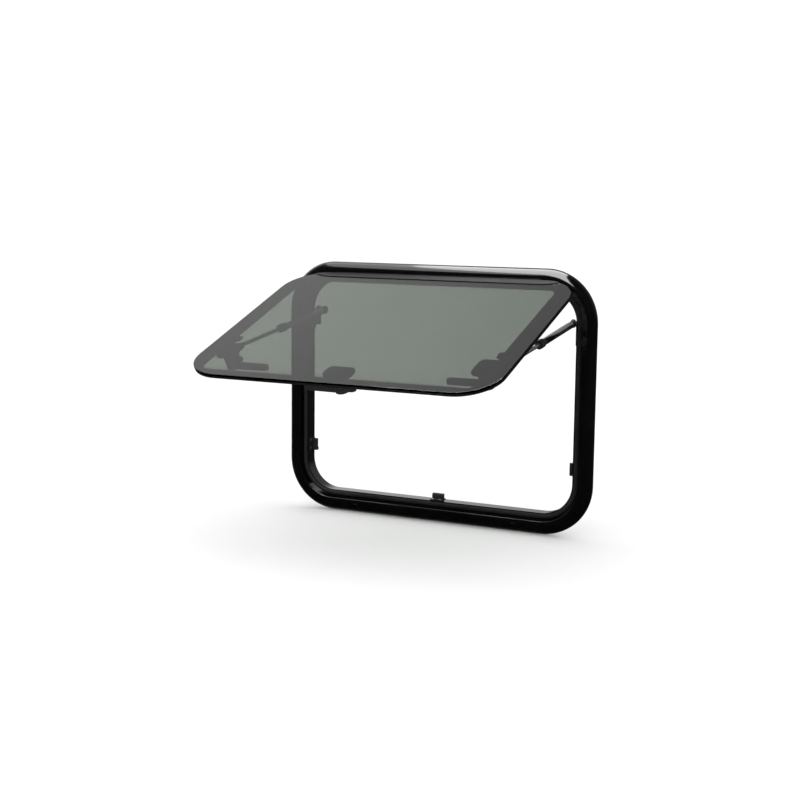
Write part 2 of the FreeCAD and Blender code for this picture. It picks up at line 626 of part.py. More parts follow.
def stay_sash_pin(side):
    """Rivet in the ear, flush with the ear's inner face."""
    start = V(sash_ear_x(side), STAY_CLOSED.y, STAY_CLOSED.z)
    end = start + X_AXIS * (side * EAR_THICK)
    return fused([rod(PIN_R, start, end), rod(PIN_HEAD_R, end, end + X_AXIS * (side * PIN_HEAD))])


# ---- latches ------------------------------------------------------------------------------------
# A latch is drawn with its hub on the Y axis. Its handle points along +X and the keeper lies
# towards -X for the side latches. Each is then turned about Y and moved to its hub.
class Latch:
    """Places of one lever latch: hub, direction of its handle, side of its tongue, its keeper."""

    def __init__(self, name, hub_x, hub_v, handle_deg, tongue_deg, to_keeper):
        self.name = name
        self.hub = V(hub_x, 0, SASH_TOP - hub_v)
        self.handle_deg = handle_deg
        self.tongue_deg = tongue_deg
        self.to_keeper = to_keeper

    def direction(self, degrees):
        """Unit vector in the pane's plane, degrees from +X towards +Z."""
        angle = math.radians(degrees)
        return V(math.cos(angle), 0, math.sin(angle))

    def at(self, y, along=0.0, degrees=0.0):
        """Point at depth y, and so far from the hub in a direction of the pane's plane."""
        return self.hub + Y_AXIS * y + self.direction(degrees) * along

    def keeper_distance(self):
        """From the hub to the frame's face that carries the keeper."""
        if abs(self.to_keeper.x) > 0.5:
            return OPENING_X - abs(self.hub.x)
        return OPENING_Z - abs(self.hub.z)

    def tongue_length(self):
        return self.keeper_distance() - KEEPER_PROUD + TONGUE_LAP


LATCHES = (Latch("left", -LATCH_SIDE_X, LATCH_SIDE_V, 0.0, 90.0, V(-1, 0, 0)),
           Latch("right", LATCH_SIDE_X, LATCH_SIDE_V, 180.0, 90.0, V(1, 0, 0)),
           Latch("sill", LATCH_SILL_X, LATCH_SILL_V, 180.0, 0.0, V(0, 0, -1)))


def arm(latch, degrees, length, widths, depths):
    """Flat arm from the hub: widths at its root and at its round tip, depths of its two faces."""
    forward = latch.direction(degrees)
    across = V(-forward.z, 0, forward.x)
    half_root = widths[0] / 2
    half_tip = widths[1] / 2
    root = latch.at(depths[0])
    near = root + forward * (length - half_tip)
    wire = outline(root + across * half_root, (near + across * half_tip,),
                   (near + forward * half_tip, near - across * half_tip), (root - across * half_root,))
    return Part.Face(wire).extrude(Y_AXIS * (depths[1] - depths[0]))


def latch_base(latch):
    """Bonded foot and the tower that carries the lever, with a blind hole for the pivot screw."""
    y0 = GLASS_IN + PAD_THICK
    upright = abs(latch.to_keeper.x) > 0.5
    half_w = (LATCH_BASE_W if upright else LATCH_BASE_L) / 2
    half_h = (LATCH_BASE_L if upright else LATCH_BASE_W) / 2
    foot = rounded_plate(half_w, half_h, LATCH_BASE_CORNER, y0, y0 + LATCH_BASE_THICK,
                         latch.hub.x, latch.hub.z)
    foot = eased(foot, LATCH_BASE_EASE, lambda edge: abs(edge.CenterOfMass.y - y0 - LATCH_BASE_THICK) < 0.01)
    tower = tapered(TOWER_FOOT_R, TOWER_TOP_R, latch.at(y0 + 1.0), latch.at(LEVER_Y - WASHER_THICK))
    hole = rod(LATCH_THREAD_R + PRESS_CLEAR, latch.at(THREAD_TIP_Y - 1.0), latch.at(LEVER_Y + 1))
    return fused([foot, tower]).cut(hole)


def latch_washer(latch):
    washer = rod(TOWER_TOP_R - 2.0, latch.at(LEVER_Y - WASHER_THICK), latch.at(LEVER_Y - RUN_CLEAR))
    return washer.cut(rod(LATCH_SCREW_R + PRESS_CLEAR, latch.at(0), latch.at(LEVER_Y + 1)))


def latch_pivot_screw(latch):
    """Shoulder screw: its shoulder carries the lever, its thread sits in the tower."""
    head_y = LATCH_TOP - SCREW_CAP
    shoulder = rod(LATCH_SCREW_R, latch.at(LEVER_Y - WASHER_THICK), latch.at(head_y))
    thread = rod(LATCH_THREAD_R, latch.at(THREAD_TIP_Y), latch.at(LEVER_Y - WASHER_THICK))
    head = rod(SCREW_CAP_R, latch.at(head_y), latch.at(LATCH_TOP - 0.2))
    return fused([thread, shoulder, head])


def latch_lever(latch):
    """Hub, handle and tongue in one moulding, with a pocket for the push button."""
    hub = rod(LEVER_R, latch.at(LEVER_Y), latch.at(LATCH_TOP))
    handle = arm(latch, latch.handle_deg, HANDLE_LEN, (HANDLE_ROOT_W, HANDLE_W),
                 (LEVER_Y + 1.0, LATCH_TOP - HANDLE_DROP))
    tongue = arm(latch, latch.tongue_deg, latch.tongue_length(), (TONGUE_W + TONGUE_FLARE, TONGUE_W),
                 (LEVER_Y, LEVER_Y + TONGUE_THICK))
    shape = fused([hub, handle, tongue])
    shoulder = rod(LATCH_SCREW_R + RUN_CLEAR, latch.at(0), latch.at(LATCH_TOP + 1))
    head = rod(SCREW_CAP_R + BODY_GAP, latch.at(LATCH_TOP - SCREW_CAP - BODY_GAP), latch.at(LATCH_TOP + 1))
    floor_y = LATCH_TOP - HANDLE_DROP - BUTTON_HEIGHT - BUTTON_TRAVEL + 1.0
    pocket = rod(BUTTON_R + BODY_GAP, latch.at(floor_y, BUTTON_OFFSET, latch.handle_deg),
                 latch.at(LATCH_TOP + 1, BUTTON_OFFSET, latch.handle_deg))
    return shape.cut(Part.makeCompound([shoulder, head, pocket]))


def latch_button(latch):
    """Push button, standing proud of the handle by its travel."""
    top = LATCH_TOP - HANDLE_DROP + BUTTON_TRAVEL
    button = rod(BUTTON_R, latch.at(top - BUTTON_HEIGHT, BUTTON_OFFSET, latch.handle_deg),
                 latch.at(top, BUTTON_OFFSET, latch.handle_deg))
    return eased(button, 0.8, lambda edge: abs(edge.CenterOfMass.y - top) < 0.01)


def bond_pads():
    """Pads that bond the latch bases and the stay brackets to the glass."""
    pads = []
    for latch in LATCHES:
        upright = abs(latch.to_keeper.x) > 0.5
        half_w = (LATCH_BASE_W if upright else LATCH_BASE_L) / 2 - PAD_INSET
        half_h = (LATCH_BASE_L if upright else LATCH_BASE_W) / 2 - PAD_INSET
        pads.append(rounded_plate(half_w, half_h, LATCH_BASE_CORNER - PAD_INSET, GLASS_IN, GLASS_IN + PAD_THICK,
                                  latch.hub.x, latch.hub.z))
    for side in (-1, 1):
        pads.append(rounded_plate(SASH_FOOT_HALF_W - 1.0, SASH_FOOT_HALF_H - 1.0, 3.0, GLASS_IN,
                                  GLASS_IN + PAD_THICK, side * STAY_X, STAY_CLOSED.z + SASH_FOOT_UP))
    return Part.makeCompound(pads)


# ---- keepers ------------------------------------------------------------------------------------
def keeper_point(latch, inward, y, along):
    """Point at a keeper: inward from the frame's face, at depth y, along the way its tongue comes."""
    onward = latch.direction(latch.tongue_deg) * -along
    return latch.hub + latch.to_keeper * (latch.keeper_distance() - inward) + onward + Y_AXIS * y


def keeper_screw_places():
    return [(KEEPER_Y - KEEPER_THICK - KEEPER_SCREW_OUT, side * KEEPER_SCREW_HALF) for side in (-1, 1)]


def keeper(latch):
    """Foot on the frame's inner face, the ledge that the tongue pulls on, and an end stop."""
    def block(in0, in1, y0, y1, a0, a1):
        return bar(keeper_point(latch, in0, y0, a0), keeper_point(latch, in1, y1, a1))

    half = KEEPER_LEN / 2
    ledge_y = KEEPER_Y - KEEPER_THICK
    foot = block(0, KEEPER_FOOT, ledge_y - KEEPER_FOOT_OUT, FRAME_DEPTH_IN, -half, half)
    ledge = block(0, KEEPER_PROUD, ledge_y, KEEPER_Y, -half, half)
    stop_a = half - KEEPER_STOP
    stop = block(0, KEEPER_PROUD - 3.0, KEEPER_Y - 1.0, LATCH_TOP - 2.0, stop_a, half)
    places = [(keeper_point(latch, KEEPER_FOOT, y, a), latch.to_keeper) for y, a in keeper_screw_places()]
    holes = screw_holes(places, SCREW_R + PRESS_CLEAR, KEEPER_FOOT + 1.0)
    body = fused([foot, ledge, stop])
    tip = latch.keeper_distance() - KEEPER_PROUD
    ramp_edges = [edge for edge in body.Edges
                  if abs(edge.CenterOfMass.y - ledge_y) < 0.01 and edge.Length > KEEPER_LEN - 1
                  and abs((edge.CenterOfMass - latch.hub).dot(latch.to_keeper) - tip) < 0.01]
    return body.makeChamfer(KEEPER_RAMP, ramp_edges).cut(Part.makeCompound(holes))


def keeper_screws():
    grip = KEEPER_FOOT + METAL + SCREW_TIP
    return Part.makeCompound([small_screw(keeper_point(latch, KEEPER_FOOT, y, along), latch.to_keeper, grip)
                              for latch in LATCHES for y, along in keeper_screw_places()])


# ---- nodes --------------------------------------------------------------------------------------
def main():
    os.makedirs("parts", exist_ok=True)
    save("outer_frame", outer_frame())
    save("wall_seal_tape", wall_seal_tape())
    save("recess_seal", recess_seal())
    save("frame_splice_plate", frame_splice_plate())
    save("hinge_frame_rail", hinge_frame_rail())
    save("stay_bracket_screws", stay_bracket_screws())
    save("keeper_screws", keeper_screws())
    save("hinge_sash_rail", opened(hinge_sash_rail()))
    save("sash_glass", opened(sash_glass()))
    save("sash_rim", opened(sash_rim()))
    save("rim_bond_tape", opened(rim_bond_tape()))
    save("bond_pads", opened(bond_pads()))
    for name, side in (("left", -1), ("right", 1)):
        save("hinge_end_cap_" + name, hinge_end_cap(side))
        save("stay_frame_bracket_" + name, stay_frame_bracket(side))
        save("stay_frame_pin_" + name, stay_frame_pin(side))
        save("stay_end_eye_" + name, stay_end_eye(side))
        save("stay_tube_" + name, stay_tube(side))
        save("stay_collar_" + name, stay_collar(side))
        save("stay_rod_" + name, stay_rod(side))
        save("stay_friction_bush_" + name, stay_friction_bush(side))
        save("stay_rod_eye_" + name, stay_rod_eye(side))
        save("stay_rod_pin_" + name, stay_rod_pin(side))
        save("stay_sash_bracket_" + name, opened(stay_sash_bracket(side)))
        save("stay_sash_pin_" + name, opened(stay_sash_pin(side)))
    for latch in LATCHES:
        save("latch_base_" + latch.name, opened(latch_base(latch)))
        save("latch_washer_" + latch.name, opened(latch_washer(latch)))
        save("latch_pivot_screw_" + latch.name, opened(latch_pivot_screw(latch)))
        save("latch_lever_" + latch.name, opened(latch_lever(latch)))
        save("latch_button_" + latch.name, opened(latch_button(latch)))
        save("keeper_" + latch.name, keeper(latch))


main()
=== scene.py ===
"""Looks of a top-hung caravan window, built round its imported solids.

Places are metres in the row frame: +X along the head, +Z up, -Y to the outside.
The sash's own pieces are drawn on the closed pane and then swung open, as it is stored.
"""

import json
import logging
import math
from dataclasses import dataclass
from enum import Enum
from typing import Sequence

import bmesh
import bpy
from mathutils import Matrix, Vector


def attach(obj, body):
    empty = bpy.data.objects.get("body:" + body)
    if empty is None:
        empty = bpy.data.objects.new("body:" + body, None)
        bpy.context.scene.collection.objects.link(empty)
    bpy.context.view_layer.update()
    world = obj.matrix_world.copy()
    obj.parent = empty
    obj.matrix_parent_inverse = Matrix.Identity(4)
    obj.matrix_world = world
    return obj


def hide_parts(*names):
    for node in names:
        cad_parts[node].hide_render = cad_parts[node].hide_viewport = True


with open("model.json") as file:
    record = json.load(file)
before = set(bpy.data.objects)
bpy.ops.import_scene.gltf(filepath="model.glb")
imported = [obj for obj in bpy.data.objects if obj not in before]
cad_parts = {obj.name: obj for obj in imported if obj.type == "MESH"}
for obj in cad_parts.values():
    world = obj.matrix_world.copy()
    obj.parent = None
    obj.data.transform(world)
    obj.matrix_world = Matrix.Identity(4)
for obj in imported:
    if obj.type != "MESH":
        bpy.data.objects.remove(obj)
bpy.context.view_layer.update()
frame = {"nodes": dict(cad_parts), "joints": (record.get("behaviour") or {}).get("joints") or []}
LOG = logging.getLogger("window")
MM = 0.001
WELD = 0.002 * MM               # vertices of a solid nearer than this are one
TIP = 0.001 * MM                # the radius that closes a turned profile
FLAT_WITHIN = math.radians(0.6)  # facets of a solid that turn less than this are one face
JAMB_FROM = 200 * MM            # a screw further than this from the middle sits in a jamb
Point = tuple[float, float]
Profile = Sequence[Point]
Triple = tuple[float, float, float]
Socket = bpy.types.NodeSocket


class Side(Enum):
    """The two jambs."""

    LEFT = -1
    RIGHT = 1

    @property
    def label(self) -> str:
        """Name of the side, as the nodes have it."""
        return self.name.lower()


class Grain(Enum):
    """How the fine relief of a finish runs, as the stretch of its pattern along X, Y and Z."""

    EVEN = (1.0, 1.0, 1.0)
    SMEARED = (1.0, 1.0, 0.35)
    ALONG_HEAD = (0.02, 1.0, 1.0)
    ACROSS_STAY = (0.05, 1.0, 0.05)
    ACROSS_PANE = (1.0, 0.3, 0.3)


# ---- shader building ----------------------------------------------------------------------------
class Paint:
    """A material under construction: one Principled shader and the nodes that feed it."""

    def __init__(self, name: str) -> None:
        """Starts an empty material.

        Args:
            name: the material's name.
        """
        self.material = bpy.data.materials.new(name)
        self.material.use_nodes = True
        self.nodes = self.material.node_tree.nodes
        self.links = self.material.node_tree.links
        self.shader = self.nodes["Principled BSDF"]
        self.place = self.nodes.new("ShaderNodeTexCoord").outputs["Object"]

    def constant(self, **values: float) -> None:
        """Sets the shader's own sockets; a name's underscores stand for spaces."""
        for key, value in values.items():
            self.shader.inputs[key.replace("_", " ")].default_value = value

    def node(self, kind: str, inputs: dict) -> bpy.types.Node:
        """Adds a node.

        Args:
            kind: the node's type, less its ShaderNode prefix.
            inputs: values or sockets by input name.

        Returns:
            The node.
        """
        made = self.nodes.new("ShaderNode" + kind)
        for key, value in inputs.items():
            if isinstance(value, Socket):
                self.links.new(value, made.inputs[key])
            else:
                made.inputs[key].default_value = value
        return made

    def noise(self, scale: float, detail: float = 3.0, run: Grain = Grain.EVEN) -> Socket:
        """Noise on object coordinates.

        Args:
            scale: cells per metre.
            detail: octaves.
            run: how the pattern is stretched.

        Returns:
            The factor socket.
        """
        mapped = self.node("Mapping", {"Vector": self.place, "Scale": run.value})
        made = self.node("TexNoise", {"Vector": mapped.outputs[0], "Scale": scale, "Detail": detail})
        return made.outputs["Fac"]

    def spread(self, source: Socket, low: float, high: float, band: Point = (0.3, 0.7)) -> Socket:
        """Maps a band of a factor to a range of values.

        Args:
            source: the factor.
            low: the value at the band's start.
            high: the value at its end.
            band: the part of the factor that counts.

        Returns:
            The value socket.
        """
        made = self.node("MapRange", {"Value": source, "From Min": band[0], "From Max": band[1],
                                      "To Min": low, "To Max": high})
        return made.outputs[0]

    def tint(self, source: Socket, dark: Triple, light: Triple, band: Point = (0.3, 0.7)) -> Socket:
        """Maps a band of a factor to a run between two colours.

        Args:
            source: the factor.
            dark: the colour at the band's start.
            light: the colour at its end.
            band: the part of the factor that counts.

        Returns:
            The colour socket.
        """
        ramp = self.node("ValToRGB", {"Fac": source})
        ends = ramp.color_ramp.elements
        ends[0].position, ends[1].position = band
        ends[0].color = (*dark, 1.0)
        ends[1].color = (*light, 1.0)
        return ramp.outputs["Color"]

    def feed(self, socket: str, source: Socket) -> None:
        """Links a source into the shader."""
        self.links.new(source, self.shader.inputs[socket])

    def relief(self, height: Socket, depth: float) -> None:
        """Adds bump.

        Args:
            height: the height factor.
            depth: metres between factor 0 and 1.
        """
        bump = self.node("Bump", {"Height": height, "Distance": depth, "Strength": 1.0})
        self.feed("Normal", bump.outputs[0])


@dataclass(frozen=True)
class Coating:
    """A dark coat on metal or a dark moulding: soft mottling, smears in the gloss, a fine relief."""

    name: str
    dark: Triple
    light: Triple
    gloss: Point
    grain: float
    depth: float
    run: Grain = Grain.EVEN
    coat: float = 0.0
    coat_roughness: float = 0.04
    mottle: float = 9.0
    smear: float = 23.0

    def material(self) -> bpy.types.Material:
        """Builds the material.

        Returns:
            The material.
        """
        paint = Paint(self.name)
        paint.constant(Coat_Weight=self.coat, Coat_Roughness=self.coat_roughness)
        paint.feed("Base Color", paint.tint(paint.noise(self.mottle, 5.0), self.dark, self.light))
        smears = paint.noise(self.smear, 6.0, Grain.SMEARED)
        paint.feed("Roughness", paint.spread(smears, *self.gloss))
        paint.relief(paint.noise(self.grain, 2.0, self.run), self.depth)
        return paint.material


@dataclass(frozen=True)
class BrightMetal:
    """Bare or plated metal with turning lines and faint rubbed patches."""

    name: str
    dark: Triple
    light: Triple
    gloss: Point
    lines: float
    run: Grain
    depth: float = 2e-6
    rubbed: float = 60.0

    def material(self) -> bpy.types.Material:
        """Builds the material.

        Returns:
            The material.
        """
        paint = Paint(self.name)
        paint.constant(Metallic=1.0)
        paint.feed("Base Color", paint.tint(paint.noise(self.rubbed, 5.0), self.dark, self.light))
        lines = paint.noise(self.lines, 3.0, self.run)
        paint.feed("Roughness", paint.spread(lines, *self.gloss, (0.35, 0.65)))
        paint.relief(lines, self.depth)
        return paint.material


@dataclass(frozen=True)
class TintedGlass:
    """Body-tinted toughened glass with the slight waviness of the oven."""

    name: str = "tinted_glass"
    tint: Triple = (0.140, 0.163, 0.138)
    deeper: float = 0.94
    ior: float = 1.52
    haze: float = 0.012
    wave_depth: float = 2e-5

    def material(self) -> bpy.types.Material:
        """Builds the material.

        Returns:
            The material.
        """
        paint = Paint(self.name)
        deep = tuple(self.deeper * part for part in self.tint)
        paint.constant(IOR=self.ior, Transmission_Weight=1.0)
        paint.feed("Base Color", paint.tint(paint.noise(1.5, 2.0), deep, self.tint))
        paint.feed("Roughness", paint.spread(paint.noise(30.0, 6.0), 0.0, self.haze, (0.55, 0.8)))
        paint.relief(paint.noise(6.0, 1.0, Grain.ACROSS_PANE), self.wave_depth)
        return paint.material


class Finishes:
    """Every finish of the window, built once."""

    def __init__(self) -> None:
        """Builds the materials."""
        soot = (0.0015, 0.0015, 0.0017)
        coal = (0.005, 0.005, 0.0055)
        specs = (
            Coating("frame_coat", soot, (0.003, 0.003, 0.0034), (0.10, 0.18), 380.0, 4e-6, coat=1.0),
            Coating("hinge_coat", soot, coal, (0.26, 0.36), 900.0, 1.2e-5, Grain.ALONG_HEAD),
            Coating("rim_moulding", (0.004, 0.004, 0.0045), (0.009, 0.009, 0.0095), (0.24, 0.38),
                    1500.0, 1.0e-5),
            Coating("fine_moulding", (0.012, 0.012, 0.013), (0.024, 0.024, 0.025), (0.36, 0.52),
                    2600.0, 2.4e-5),
            Coating("acetal", (0.030, 0.030, 0.031), (0.045, 0.045, 0.046), (0.18, 0.30), 1800.0, 6e-6),
            Coating("button_moulding", (0.055, 0.055, 0.058), (0.085, 0.085, 0.088), (0.22, 0.34),
                    2200.0, 1.2e-5),
            Coating("seal_rubber", (0.008, 0.008, 0.008), (0.020, 0.020, 0.020), (0.55, 0.75),
                    1900.0, 2.0e-5),
            Coating("butyl", (0.10, 0.10, 0.10), (0.19, 0.19, 0.185), (0.6, 0.8), 500.0, 1.2e-4),
            Coating("frit_enamel", (0.012, 0.012, 0.013), (0.020, 0.020, 0.021), (0.30, 0.46),
                    3000.0, 6e-6),
            BrightMetal("stay_chrome", (0.70, 0.70, 0.69), (0.82, 0.82, 0.81), (0.05, 0.13), 1400.0,
                        Grain.ACROSS_STAY),
            BrightMetal("rod_steel", (0.62, 0.62, 0.62), (0.76, 0.76, 0.755), (0.26, 0.38), 2600.0,
                        Grain.ACROSS_STAY),
            BrightMetal("zinc_steel", (0.42, 0.41, 0.37), (0.62, 0.61, 0.58), (0.22, 0.40), 1200.0,
                        Grain.EVEN, 8e-6),
            BrightMetal("mill_aluminium", (0.60, 0.60, 0.60), (0.72, 0.72, 0.72), (0.28, 0.42), 900.0,
                        Grain.ALONG_HEAD, 6e-6),
            TintedGlass(),
        )
        self.made = {spec.name: spec.material() for spec in specs}

    def __getitem__(self, name: str) -> bpy.types.Material:
        """A finish by name."""
        return self.made[name]


# ---- mesh building ------------------------------------------------------------------------------
def box_of(points: Sequence[Vector]) -> tuple[Vector, Vector]:
    """The box round some points.

    Args:
        points: the points.

    Returns:
        Its lowest and highest corners.
    """
    low = Vector(min(point[axis] for point in points) for axis in range(3))
    high = Vector(max(point[axis] for point in points) for axis in range(3))
    return low, high


def joint_row(name: str) -> dict:
    """A joint of the record, by name."""
    return next(joint for joint in frame["joints"] if joint["name"] == name)


class Pane:
    """The closed sash's own plane, and the swing that opens it."""

    def __init__(self) -> None:
        """Reads the hinge from the record's joints."""
        hinge = joint_row("sash_hinge")
        pivot = Vector(hinge["pos_m"])
        turn = Matrix.Rotation(-math.radians(hinge["range_deg"][1]), 4, "X")
        self.opened = Matrix.Translation(pivot) @ turn @ Matrix.Translation(-pivot)
        self.closed = self.opened.inverted()

    def box(self, node: str) -> tuple[Vector, Vector]:
        """Lowest and highest corners of a sash node, as it lies when the sash is closed."""
        return box_of([self.closed @ vertex.co for vertex in frame["nodes"][node].data.vertices])


PANE = Pane()


def new_piece(name: str, mesh: bpy.types.Mesh, body: str, finish: bpy.types.Material, slot: str,
              *nodes: str) -> None:
    """Makes a finished mesh a piece of the window.

    Args:
        name: the piece's name.
        mesh: its mesh, in the row frame.
        body: the body that it rides on.
        finish: its material.
        slot: the record's material slot; not used.
        nodes: the solids that it stands for.
    """
    piece = bpy.data.objects.new(name, mesh)
    bpy.context.scene.collection.objects.link(piece)
    mesh.materials.clear()
    mesh.materials.append(finish)
    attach(piece, body)
    if nodes:
        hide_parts(*nodes)
    LOG.info("%s: %d faces on %s", name, len(mesh.polygons), body)


def mesh_of(name: str, shape: bmesh.types.BMesh, move: Matrix | None = None,
            sharp: float = 32.0) -> bpy.types.Mesh:
    """Turns a bmesh into a mesh with smooth faces and sharp edges by angle.

    Args:
        name: the mesh's name.
        shape: the bmesh, which is freed.
        move: a transform to bake in.
        sharp: edges that turn more than this many degrees stay sharp.

    Returns:
        The mesh.
    """
    if move is not None:
        shape.transform(move)
    limit = math.radians(sharp)
    for face in shape.faces:
        face.smooth = len(face.verts) <= 4
    for edge in shape.edges:
        edge.smooth = len(edge.link_faces) == 2 and edge.calc_face_angle(0.0) < limit
    mesh = bpy.data.meshes.new(name)
    shape.to_mesh(mesh)
    shape.free()
    return mesh


def reopened(mesh: bpy.types.Mesh, move: Matrix | None = None, weld: float = 0.0) -> bmesh.types.BMesh:
    """Takes a mesh back into a bmesh.

    Args:
        mesh: the mesh, which is removed.
        move: a transform to bake in first.
        weld: vertices nearer than this become one.

    Returns:
        The bmesh.
    """
    shape = bmesh.new()
    shape.from_mesh(mesh)
    bpy.data.meshes.remove(mesh)
    if move is not None:
        shape.transform(move)
    if weld:
        bmesh.ops.remove_doubles(shape, verts=shape.verts, dist=weld)
    return shape


def outward(shape: bmesh.types.BMesh) -> bmesh.types.BMesh:
    """Turns a shape's faces outwards, also where a mirroring move has left its normals behind."""
    shape.normal_update()
    bmesh.ops.recalc_face_normals(shape, faces=shape.faces)
    return shape


def skin(rings: Sequence[Sequence[Vector]], closed: bool) -> bmesh.types.BMesh:
    """Joins rings of equal count into one surface.

    Args:
        rings: the rings of points.
        closed: whether the last ring joins the first; if not, a face closes each of the two.

    Returns:
        The surface, with its faces turned outwards.
    """
    shape = bmesh.new()
    made = [[shape.verts.new(point) for point in ring] for ring in rings]
    count = len(made[0])
    runs = list(zip(made, made[1:])) + ([(made[-1], made[0])] if closed else [])
    for here, there in runs:
        for step in range(count):
            after = (step + 1) % count
            shape.faces.new((here[step], here[after], there[after], there[step]))
    if not closed:
        shape.faces.new(made[0])
        shape.faces.new(made[-1])
    return outward(shape)


def rounded_loop(low: Vector, high: Vector, radius: float, depth: float, steps: int = 24) -> list[Vector]:
    """Points round a rectangle with round corners, at one depth of the pane.

    Args:
        low: lowest corner.
        high: highest corner.
        radius: corner radius.
        depth: the loop's Y.
        steps: steps in each corner.

    Returns:
        The points, from the lower right corner on.
    """
    points = []
    corners = ((high.x, low.z, -90), (high.x, high.z, 0), (low.x, high.z, 90), (low.x, low.z, 180))
    for x, z, start in corners:
        centre_x = x - math.copysign(radius, x - (low.x + high.x) / 2)
        centre_z = z - math.copysign(radius, z - (low.z + high.z) / 2)
        for step in range(steps + 1):
            angle = math.radians(start + 90 * step / steps)
            points.append(Vector((centre_x + radius * math.cos(angle), depth,
                                  centre_z + radius * math.sin(angle))))
    return points


def arc(centre: Point, radius: float, start: float, end: float, steps: int) -> list[Point]:
    """Points on an arc of a profile.

    Args:
        centre: the arc's centre.
        radius: its radius.
        start: its first angle, in degrees from the profile's first axis.
        end: its last angle.
        steps: steps along it.

    Returns:
        The points.
    """
    angles = (math.radians(start + (end - start) * step / steps) for step in range(steps + 1))
    return [(centre[0] + radius * math.cos(angle), centre[1] + radius * math.sin(angle))
            for angle in angles]


@dataclass(frozen=True)
class Groove:
    """A groove with sloping sides, in a profile: half its width at its mouth and floor, its depth."""

    mouth: float
    floor: float
    depth: float

    def cut(self, middle: float, top: float) -> list[Point]:
        """The groove's points.

        Args:
            middle: where it is centred, on the profile's first axis.
            top: the level that it is cut from, on the second.

        Returns:
            Its four points.
        """
        return [(middle - self.mouth, top), (middle - self.floor, top - self.depth),
                (middle + self.floor, top - self.depth), (middle + self.mouth, top)]


def spun(profile: Profile, origin: Vector, axis: Vector, steps: int) -> list[list[Vector]]:
    """The rings that a profile's points draw round an axis.

    Args:
        profile: (along, radius) points.
        origin: where along is 0.
        axis: the axis's direction.
        steps: steps round the turn.

    Returns:
        A ring for each point.
    """
    axis = axis.normalized()
    side = axis.orthogonal().normalized()
    other = axis.cross(side)
    turns = [2 * math.pi * step / steps for step in range(steps)]
    return [[origin + axis * along + (side * math.cos(turn) + other * math.sin(turn)) * max(radius, TIP)
             for turn in turns] for along, radius in profile]


def turned(profile: Profile, origin: Vector, axis: Vector, steps: int) -> bmesh.types.BMesh:
    """Turns a profile about an axis into a solid.

    Args:
        profile: (along, radius) points; a first and last radius of 0 close the ends.
        origin: where along is 0.
        axis: the axis's direction.
        steps: steps round the turn.

    Returns:
        The turned solid.
    """
    shape = skin(spun(profile, origin, axis, steps), False)
    bmesh.ops.remove_doubles(shape, verts=shape.verts, dist=2 * WELD)
    return outward(shape)


def hollow(profile: Profile, origin: Vector, axis: Vector, steps: int) -> bmesh.types.BMesh:
    """Turns a closed profile that stays off the axis into a ring."""
    return skin(spun(profile, origin, axis, steps), True)


def plain_mesh(holder: bpy.types.Object, name: str) -> bpy.types.Mesh:
    """Evaluates an object's modifiers into a plain mesh and removes the object.

    Args:
        holder: the object.
        name: the mesh's name.

    Returns:
        The mesh.
    """
    bpy.context.view_layer.update()
    graph = bpy.context.evaluated_depsgraph_get()
    mesh = bpy.data.meshes.new_from_object(holder.evaluated_get(graph))
    mesh.name = name
    bpy.data.objects.remove(holder)
    return mesh


def held(name: str, mesh: bpy.types.Mesh) -> bpy.types.Object:
    """Puts a mesh in the scene for as long as a modifier works on it.

    Args:
        name: what the mesh will be.
        mesh: the mesh.

    Returns:
        The object that holds it.
    """
    holder = bpy.data.objects.new(name + "_holder", mesh)
    bpy.context.scene.collection.objects.link(holder)
    return holder


def welded(node: str) -> bmesh.types.BMesh:
    """A copy of a solid's mesh with its loose triangles joined.

    Args:
        node: the solid.

    Returns:
        The copy.
    """
    shape = bmesh.new()
    shape.from_mesh(frame["nodes"][node].data)
    bmesh.ops.remove_doubles(shape, verts=shape.verts, dist=WELD)
    return shape


def soft_copy(node: str, body: str, finish: bpy.types.Material, slot: str, edge: float) -> None:
    """Stands a copy with rounded edges in for a solid.

    Args:
        node: the solid.
        body: the body that it rides on.
        finish: its material.
        slot: the record's material slot.
        edge: how far the rounding of its edges reaches.
    """
    shape = welded(node)
    bmesh.ops.dissolve_limit(shape, angle_limit=FLAT_WITHIN, verts=shape.verts, edges=shape.edges)
    source = bpy.data.meshes.new(node + "_source")
    shape.to_mesh(source)
    shape.free()
    holder = held(node, source)
    rounding = holder.modifiers.new("rounding", "BEVEL")
    rounding.width = edge
    rounding.segments = 3
    rounding.limit_method = "ANGLE"
    rounding.angle_limit = math.radians(28.0)
    rounding.use_clamp_overlap = True
    rounding.harden_normals = False
    mesh = plain_mesh(holder, node + "_soft")
    after = bmesh.new()
    after.from_mesh(mesh)
    bpy.data.meshes.remove(mesh)
    new_piece("soft_" + node, mesh_of(node + "_soft", after, sharp=40.0), body, finish, slot, node)


def dress(node: str, finish: bpy.types.Material) -> None:
    """Gives a solid its finish.

    Args:
        node: the solid.
        finish: its material.
    """
    materials = frame["nodes"][node].data.materials
    materials.clear()
    materials.append(finish)


